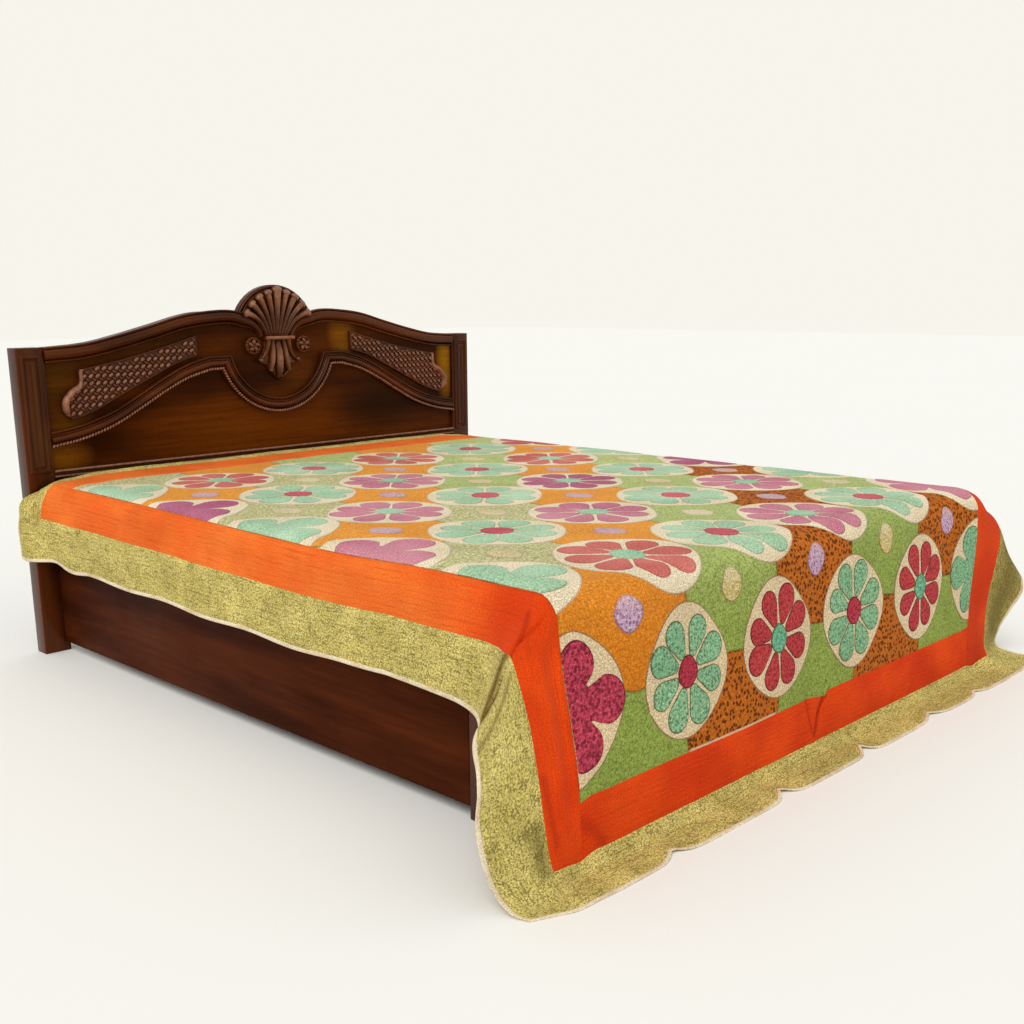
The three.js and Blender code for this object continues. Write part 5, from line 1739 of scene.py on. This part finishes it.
def lattices(carved):
    """Carved basket weave in a rounded rim, on each side of the shell."""
    edges = [smooth_line(edge, 6.0) for edge in (LATTICE_TOP, LATTICE_END, LATTICE_BOTTOM)]
    outline = [point for edge in edges for point in edge[:-1]] + [LATTICE_BOTTOM[-1]]
    margin = 0.32 * WEAVE_PITCH
    places = []
    for i in WEAVE_UP:
        for j in WEAVE_DOWN:
            p, q = i * WEAVE_PITCH, j * WEAVE_PITCH
            x, z = (p - q) / math.sqrt(2), (p + q) / math.sqrt(2)
            around = [(x - margin, z), (x + margin, z), (x, z - margin), (x, z + margin)]
            if not all(inside_outline(*place, outline) for place in around):
                continue
            if (i + j) % 2:
                over = on_face(x, z, 11, math.radians(-42), 0.74 * WEAVE_PITCH, 0.4 * WEAVE_PITCH, 7.5)
            else:
                over = on_face(x, z, 10, math.radians(45), 0.66 * WEAVE_PITCH, 0.3 * WEAVE_PITCH, 6.0)
            places.append(over)
    weave = repeated("basket_weave", pebble("weave_master"), places)
    widths = [0.8 + 1.1 * float(smooth(705, 745, x) * smooth(722, 745, z)) for x, z in outline]
    rim = moulding("lattice_rim", outline, [(-5, 0), *bead(-5, 5, 9, 17), (5, 0)], True, widths)
    right = joined("lattice_carving_right", [weave, rim])
    left = mirrored_copy(right, "lattice_carving_left")
    for piece in (right, left):
        dressed(piece, carved, "carved_wood")


def flute(name, line, widths, crown):
    """A tapering round rib along a line: its half width at each point sets its height too."""
    return moulding(name, line, [(-1, 0), *bead(-1, 1, 0.35, crown, 10), (1, 0)], radii=widths)


BEND_SHARES = [i / 14 for i in range(15)]


def bent_line(start, pull, end):
    """A line that leaves its start toward the pull and bends over to its end."""
    line = []
    for t in BEND_SHARES:
        near, over, far = (1 - t) ** 2, 2 * t * (1 - t), t * t
        line.append(tuple(a * near + over * b + far * c for a, b, c in zip(start, pull, end)))
    return line


def crest_arc(radius, spread, steps):
    """Points round the shell's centre from right to left, so many degrees to each side of its top."""
    turns = [math.radians(90 - spread + 2 * spread * i / steps) for i in range(steps + 1)]
    return [(radius * math.cos(t), SHELL_CENTRE + radius * math.sin(t)) for t in turns]


# The shell's ribs: how far apart they are at the root (mm) and the tip (degrees), their half width at
# the root, and each one's reach, half width at the tip and fullness.
RIBS = 9
RIB_ROOT_PITCH, RIB_TIP_PITCH = 9.8, 14.8
RIB_ROOT = 5.4
MIDDLE_RIB = (151, 20, 1.8)
SIDE_RIB = (147, 16, 2.0)
RIBBON_Z = 948
PENDANT_HALF = [(54, 936), (57, 908), (66, 886), (82, 872), (72, 858), (50, 852), (39, 828), (0, 797)]
# The pendant's ribs on its right side: start, pull, end, half widths along it and fullness.
PENDANT_RIBS = {
    "outer": ((42, 935), (43, 886), (76, 867), [11 - 4 * t for t in BEND_SHARES], 2.3),
    "inner": ((23, 935), (25, 880), (37, 834), [9 + 4 * math.sin(2.6 * t) for t in BEND_SHARES], 2.2),
    "point": ((37, 830), (22, 816), (1, 799), [5.5 - 2 * t for t in BEND_SHARES], 4.0),
}


def shell_fan():
    """Ribs spreading from the ribbon over a plain ground, each curled over at its tip."""
    foot = [(x - 5, z + 3) for x, z in SCROLL]
    rim = crest_arc(CREST_RADIUS - 13, 62, 72)
    parts = [slab("shell_ground", [*foot, *rim, *reflected(foot)], 0, 8)]
    tips = []
    for k in range(RIBS):
        place = k - RIBS // 2
        reach, size, fullness = SIDE_RIB if place else MIDDLE_RIB
        angle = math.radians(90 + place * RIB_TIP_PITCH)
        tip = (reach * math.cos(angle), SHELL_CENTRE + reach * math.sin(angle))
        root = (-RIB_ROOT_PITCH * place, SHELL_CENTRE - 6)
        line = bent_line(root, (root[0] * 1.6, SHELL_CENTRE + 62), tip)
        widths = [RIB_ROOT + (size - RIB_ROOT) * t**0.9 for t in BEND_SHARES]
        parts.append(flute(f"shell_rib_{k}", line, widths, fullness))
        tips.append(on_face(*tip, 19, angle - math.pi / 2, size * 1.05, size * 0.66, 15))
    parts.append(repeated("shell_tips", pebble("tip_master", 16, 10), tips))
    return joined("shell_ribs", parts)


def pendant():
    """The leaf below the ribbon: three ribs on each side of a stem, and four curled ends."""
    parts = [slab("pendant_ground", PENDANT_HALF + reflected(PENDANT_HALF[:-1]), 0, 9)]
    for side in (-1, 1):
        for rib, (*points, widths, fullness) in PENDANT_RIBS.items():
            line = bent_line(*((side * x, z) for x, z in points))
            parts.append(flute(f"pendant_{rib}_{side + 1}", line, widths, fullness))
    stem = [10 + 9 * math.sin(2.9 * t) for t in BEND_SHARES]
    parts.append(flute("pendant_stem", bent_line((0, 935), (0, 880), (0, 806)), stem, 1.6))
    curls = [on_face(side * 77, 867, 15, 0.0, 10, 9, 12) for side in (-1, 1)]
    curls += [on_face(side * 38, 832, 15, 0.0, 9, 8, 11) for side in (-1, 1)]
    parts.append(repeated("pendant_curls", pebble("curl_master"), curls))
    return joined("pendant_leaf", parts)


def shell(material, carved):
    """The shell with the ribbon it spreads from, the bead over it and the pendant leaf below."""
    dressed(shell_fan(), carved, "carved_wood", "shell_fan")
    across = [(-58, RIBBON_Z), (58, RIBBON_Z)]
    ribbon = moulding("shell_ribbon", across, [(0, 0), *bead(0, 13, 24, 33), (13, 0)])
    dressed(ribbon, carved, "carved_wood", "shell_band")
    edge = crest_arc(CREST_RADIUS - 2, 61, 60)[::-1]
    dressed(moulding("crest_bead", edge, [(0, -1), *bead(0, 9, 1, 7), (9, -1)]), material, "wood")
    dressed(pendant(), carved, "carved_wood", "shell_pendant")


def rosettes(carved):
    """A small rose at each side of the band: a rolled rim, five curled petals and a sunk eye."""
    x, z = ROSETTE
    places = [on_face(x, z, 8, 0.0, 27, 27, 8)]
    for k in range(12):
        turn = math.radians(30 * k)
        rim_x, rim_z = x + 25 * math.cos(turn), z + 25 * math.sin(turn)
        places.append(on_face(rim_x, rim_z, 13, turn + math.pi / 2, 8.5, 5, 8))
    for k in range(5):
        turn = math.radians(90 + 72 * k)
        petal_x, petal_z = x + 13 * math.cos(turn), z + 13 * math.sin(turn)
        places.append(on_face(petal_x, petal_z, 18, turn + math.radians(25), 10.5, 7, 9))
    places.append(on_face(x, z, 18, 0.0, 5.5, 5.5, 6))
    right = repeated("rose_right", pebble("petal_master", 14, 10), places)
    left = mirrored_copy(right, "rose_left")
    dressed(right, carved, "carved_wood", "rosette_right")
    dressed(left, carved, "carved_wood", "rosette_left")


def bed(materials):
    """The carved headboard and the plain frame under the cover."""
    for side in ("left", "right"):
        board(f"head_post_board_{side}", f"head_post_{side}", materials["up"])
        board(f"rail_board_{side}", f"side_rail_{side}", materials["along"])
        board(f"foot_post_board_{side}", f"foot_post_{side}", materials["up"])
        framed_panel(side, materials["up"])
    board("foot_rail_board", "foot_rail", materials["along"])
    standing = set(bpy.data.objects)
    top_rails(materials["across"])
    arch(materials["across"], materials["carved"])
    bottom_moulding(materials["carved"])
    lattices(materials["carved"])
    shell(materials["across"], materials["shell"])
    rosettes(materials["shell"])
    for piece in set(bpy.data.objects) - standing:
        set_aside(piece)


# How much narrower and shorter the mattress is than its case (mm), and how much it has sunk.
MATTRESS_SLACK = 6 * MM
MATTRESS_SUNK = 0.985


def stuffed_mattress(material):
    """The mattress under the cover, a little slack inside the size it is cut to."""
    node = nodes["mattress"]
    piece = linked("mattress_pad", node.data.copy())
    piece.data.name = "mattress_pad"
    low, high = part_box("mattress")
    middle = (low + high) / 2
    size = high - low
    narrower, shorter = 1 - MATTRESS_SLACK / size.x, 1 - MATTRESS_SLACK / size.y
    piece.data.transform(Matrix.Translation(-middle))
    piece.data.transform(Matrix.Diagonal((narrower, shorter, MATTRESS_SUNK, 1.0)))
    piece.data.transform(Matrix.Translation(middle))
    finished(piece, 60)
    dressed(piece, material, "ticking", "mattress")
    return piece


# ---------------------------------------------------------------- stage, light and camera

FLOOR_SIZE = 60
FLOOR_PAPER = ((244, 243, 236), (245, 243, 237))
BACKDROP = (247, 245, 236)
# Light as tinted so that a pale cloth comes out neutral.
LIGHT_TINT = (0.993, 1.0, 0.998)
ROOM_LIGHT = 0.712
WINDOW_LIGHT = 1.455
WINDOW_SPREAD = math.radians(40)
WINDOW_FROM = (-5.0, -2.2, 6.0)
# The camera: where it stands from the bed's middle line and headboard, and how it is turned.
EYE = (-2.4723, -3.5500, 1.0755)
YAW, PITCH, ROLL = math.radians(45.68), math.radians(14.01), math.radians(-0.30)
LENS, SENSOR, SHIFT_UP = 42.29, 36, 0.0826


def stage():
    deselect_all()
    bpy.ops.mesh.primitive_plane_add(size=FLOOR_SIZE, location=(0, 0, 0))
    floor = bpy.context.object
    floor.name = "studio_floor"
    material, s, body = new_material("studio_floor_paper", {"Roughness": 0.95, "Specular IOR Level": 0.0})
    mottle = s.noise(s.place(), 0.6, 2.0)
    s.put(body.inputs["Base Color"], s.mix(mottle, *FLOOR_PAPER))
    floor.data.materials.append(material)


def studio_light():
    """Even light from all round, a window from the left, and a pale backdrop only the camera sees."""
    world = bpy.data.worlds.new("studio_air")
    bpy.context.scene.world = world
    world.use_nodes = True
    s = Shader(world.node_tree)
    soft = world.node_tree.nodes["Background"]
    soft.inputs["Color"].default_value = (*LIGHT_TINT, 1.0)
    soft.inputs["Strength"].default_value = ROOM_LIGHT
    paper = s.add("Background", {"Color": BACKDROP, "Strength": 1.0})
    seen = s.add("LightPath").outputs
    mixed = s.add("MixShader")
    s.put(mixed.inputs[0], s.math("MAXIMUM", seen["Is Camera Ray"], seen["Is Transmission Ray"]))
    s.put(mixed.inputs[1], soft.outputs[0])
    s.put(mixed.inputs[2], paper.outputs[0])
    s.put(world.node_tree.nodes["World Output"].inputs["Surface"], mixed.outputs[0])
    data = bpy.data.lights.new("window_light", "SUN")
    data.energy = WINDOW_LIGHT
    data.angle = WINDOW_SPREAD
    data.color = LIGHT_TINT
    light = linked("window_light", data)
    light.rotation_mode = "QUATERNION"
    light.rotation_quaternion = Vector(WINDOW_FROM).to_track_quat("Z", "Y")
    light.location = WINDOW_FROM


def camera():
    data = bpy.data.cameras.new("viewer")
    data.lens = LENS
    data.sensor_width = SENSOR
    data.shift_y = SHIFT_UP
    data.clip_end = 200
    eye = linked("viewer", data)
    level = math.cos(PITCH)
    forward = Vector((math.sin(YAW) * level, math.cos(YAW) * level, -math.sin(PITCH)))
    right = Vector((math.cos(YAW), -math.sin(YAW), 0.0))
    up = right.cross(forward)
    c, s = math.cos(ROLL), math.sin(ROLL)
    right, up = c * right + s * up, c * up - s * right
    turn = Matrix((right, up, -forward)).transposed().to_4x4()
    eye.matrix_world = Matrix.Translation((MIDDLE_X + EYE[0], FRONT_Y + EYE[1], EYE[2])) @ turn
    bpy.context.scene.camera = eye


# ---------------------------------------------------------------- making the object

wood = {
    "up": polished_wood("mahogany_upright", "z", (50, 18, 5), (90, 40, 10), painted_light=POST_PAINTED_HIGHLIGHTS),
    "across": polished_wood("mahogany_across", "x", (56, 21, 5), (96, 43, 10), crown_highlight=CROWN_HIGHLIGHT_MOULDING),
    "along": polished_wood("mahogany_rail", "y", (54, 20, 6), (86, 38, 14), 0.03, 0.5),
    "panel": polished_wood("mahogany_panel", "x", (50, 19, 2), (92, 42, 5), 0.05, painted_light=PANEL_PAINTED_LIGHT),
    "carved": polished_wood("mahogany_carving", "x", (58, 24, 10), (88, 42, 18), 0.5, 0.26, crown_highlight=CROWN_HIGHLIGHT_CARVED),
    "shell": polished_wood("mahogany_shell", "x", (56, 24, 8), (88, 42, 14), 0.55, 0.22, crown_highlight=CROWN_HIGHLIGHT_SHELL),
}
cloth = {
    "field": patchwork_cloth(),
    "orange": orange_cloth(),
    "olive": olive_cloth(),
    "binding": binding_cloth(),
}
cover = cloth_pieces(cloth)
cut_cloths = {kind: applique_cloth(f"{kind}_cotton", *look) for kind, look in COTTONS.items()}
shapes = applique(cut_cloths)

bed(wood)
mattress = stuffed_mattress(ticking_cloth())
nodes["headboard_panel"].data.materials.append(wood["panel"])
nodes["shell_crest"].data.materials.append(wood["across"])
nodes["platform"].data.materials.append(board_wood())
for side in ("left", "right"):
    nodes[f"lattice_panel_{side}"].data.materials.append(wood["carved"])

stage()
studio_light()
camera()

scene = bpy.context.scene
scene.view_settings.view_transform = "Standard"
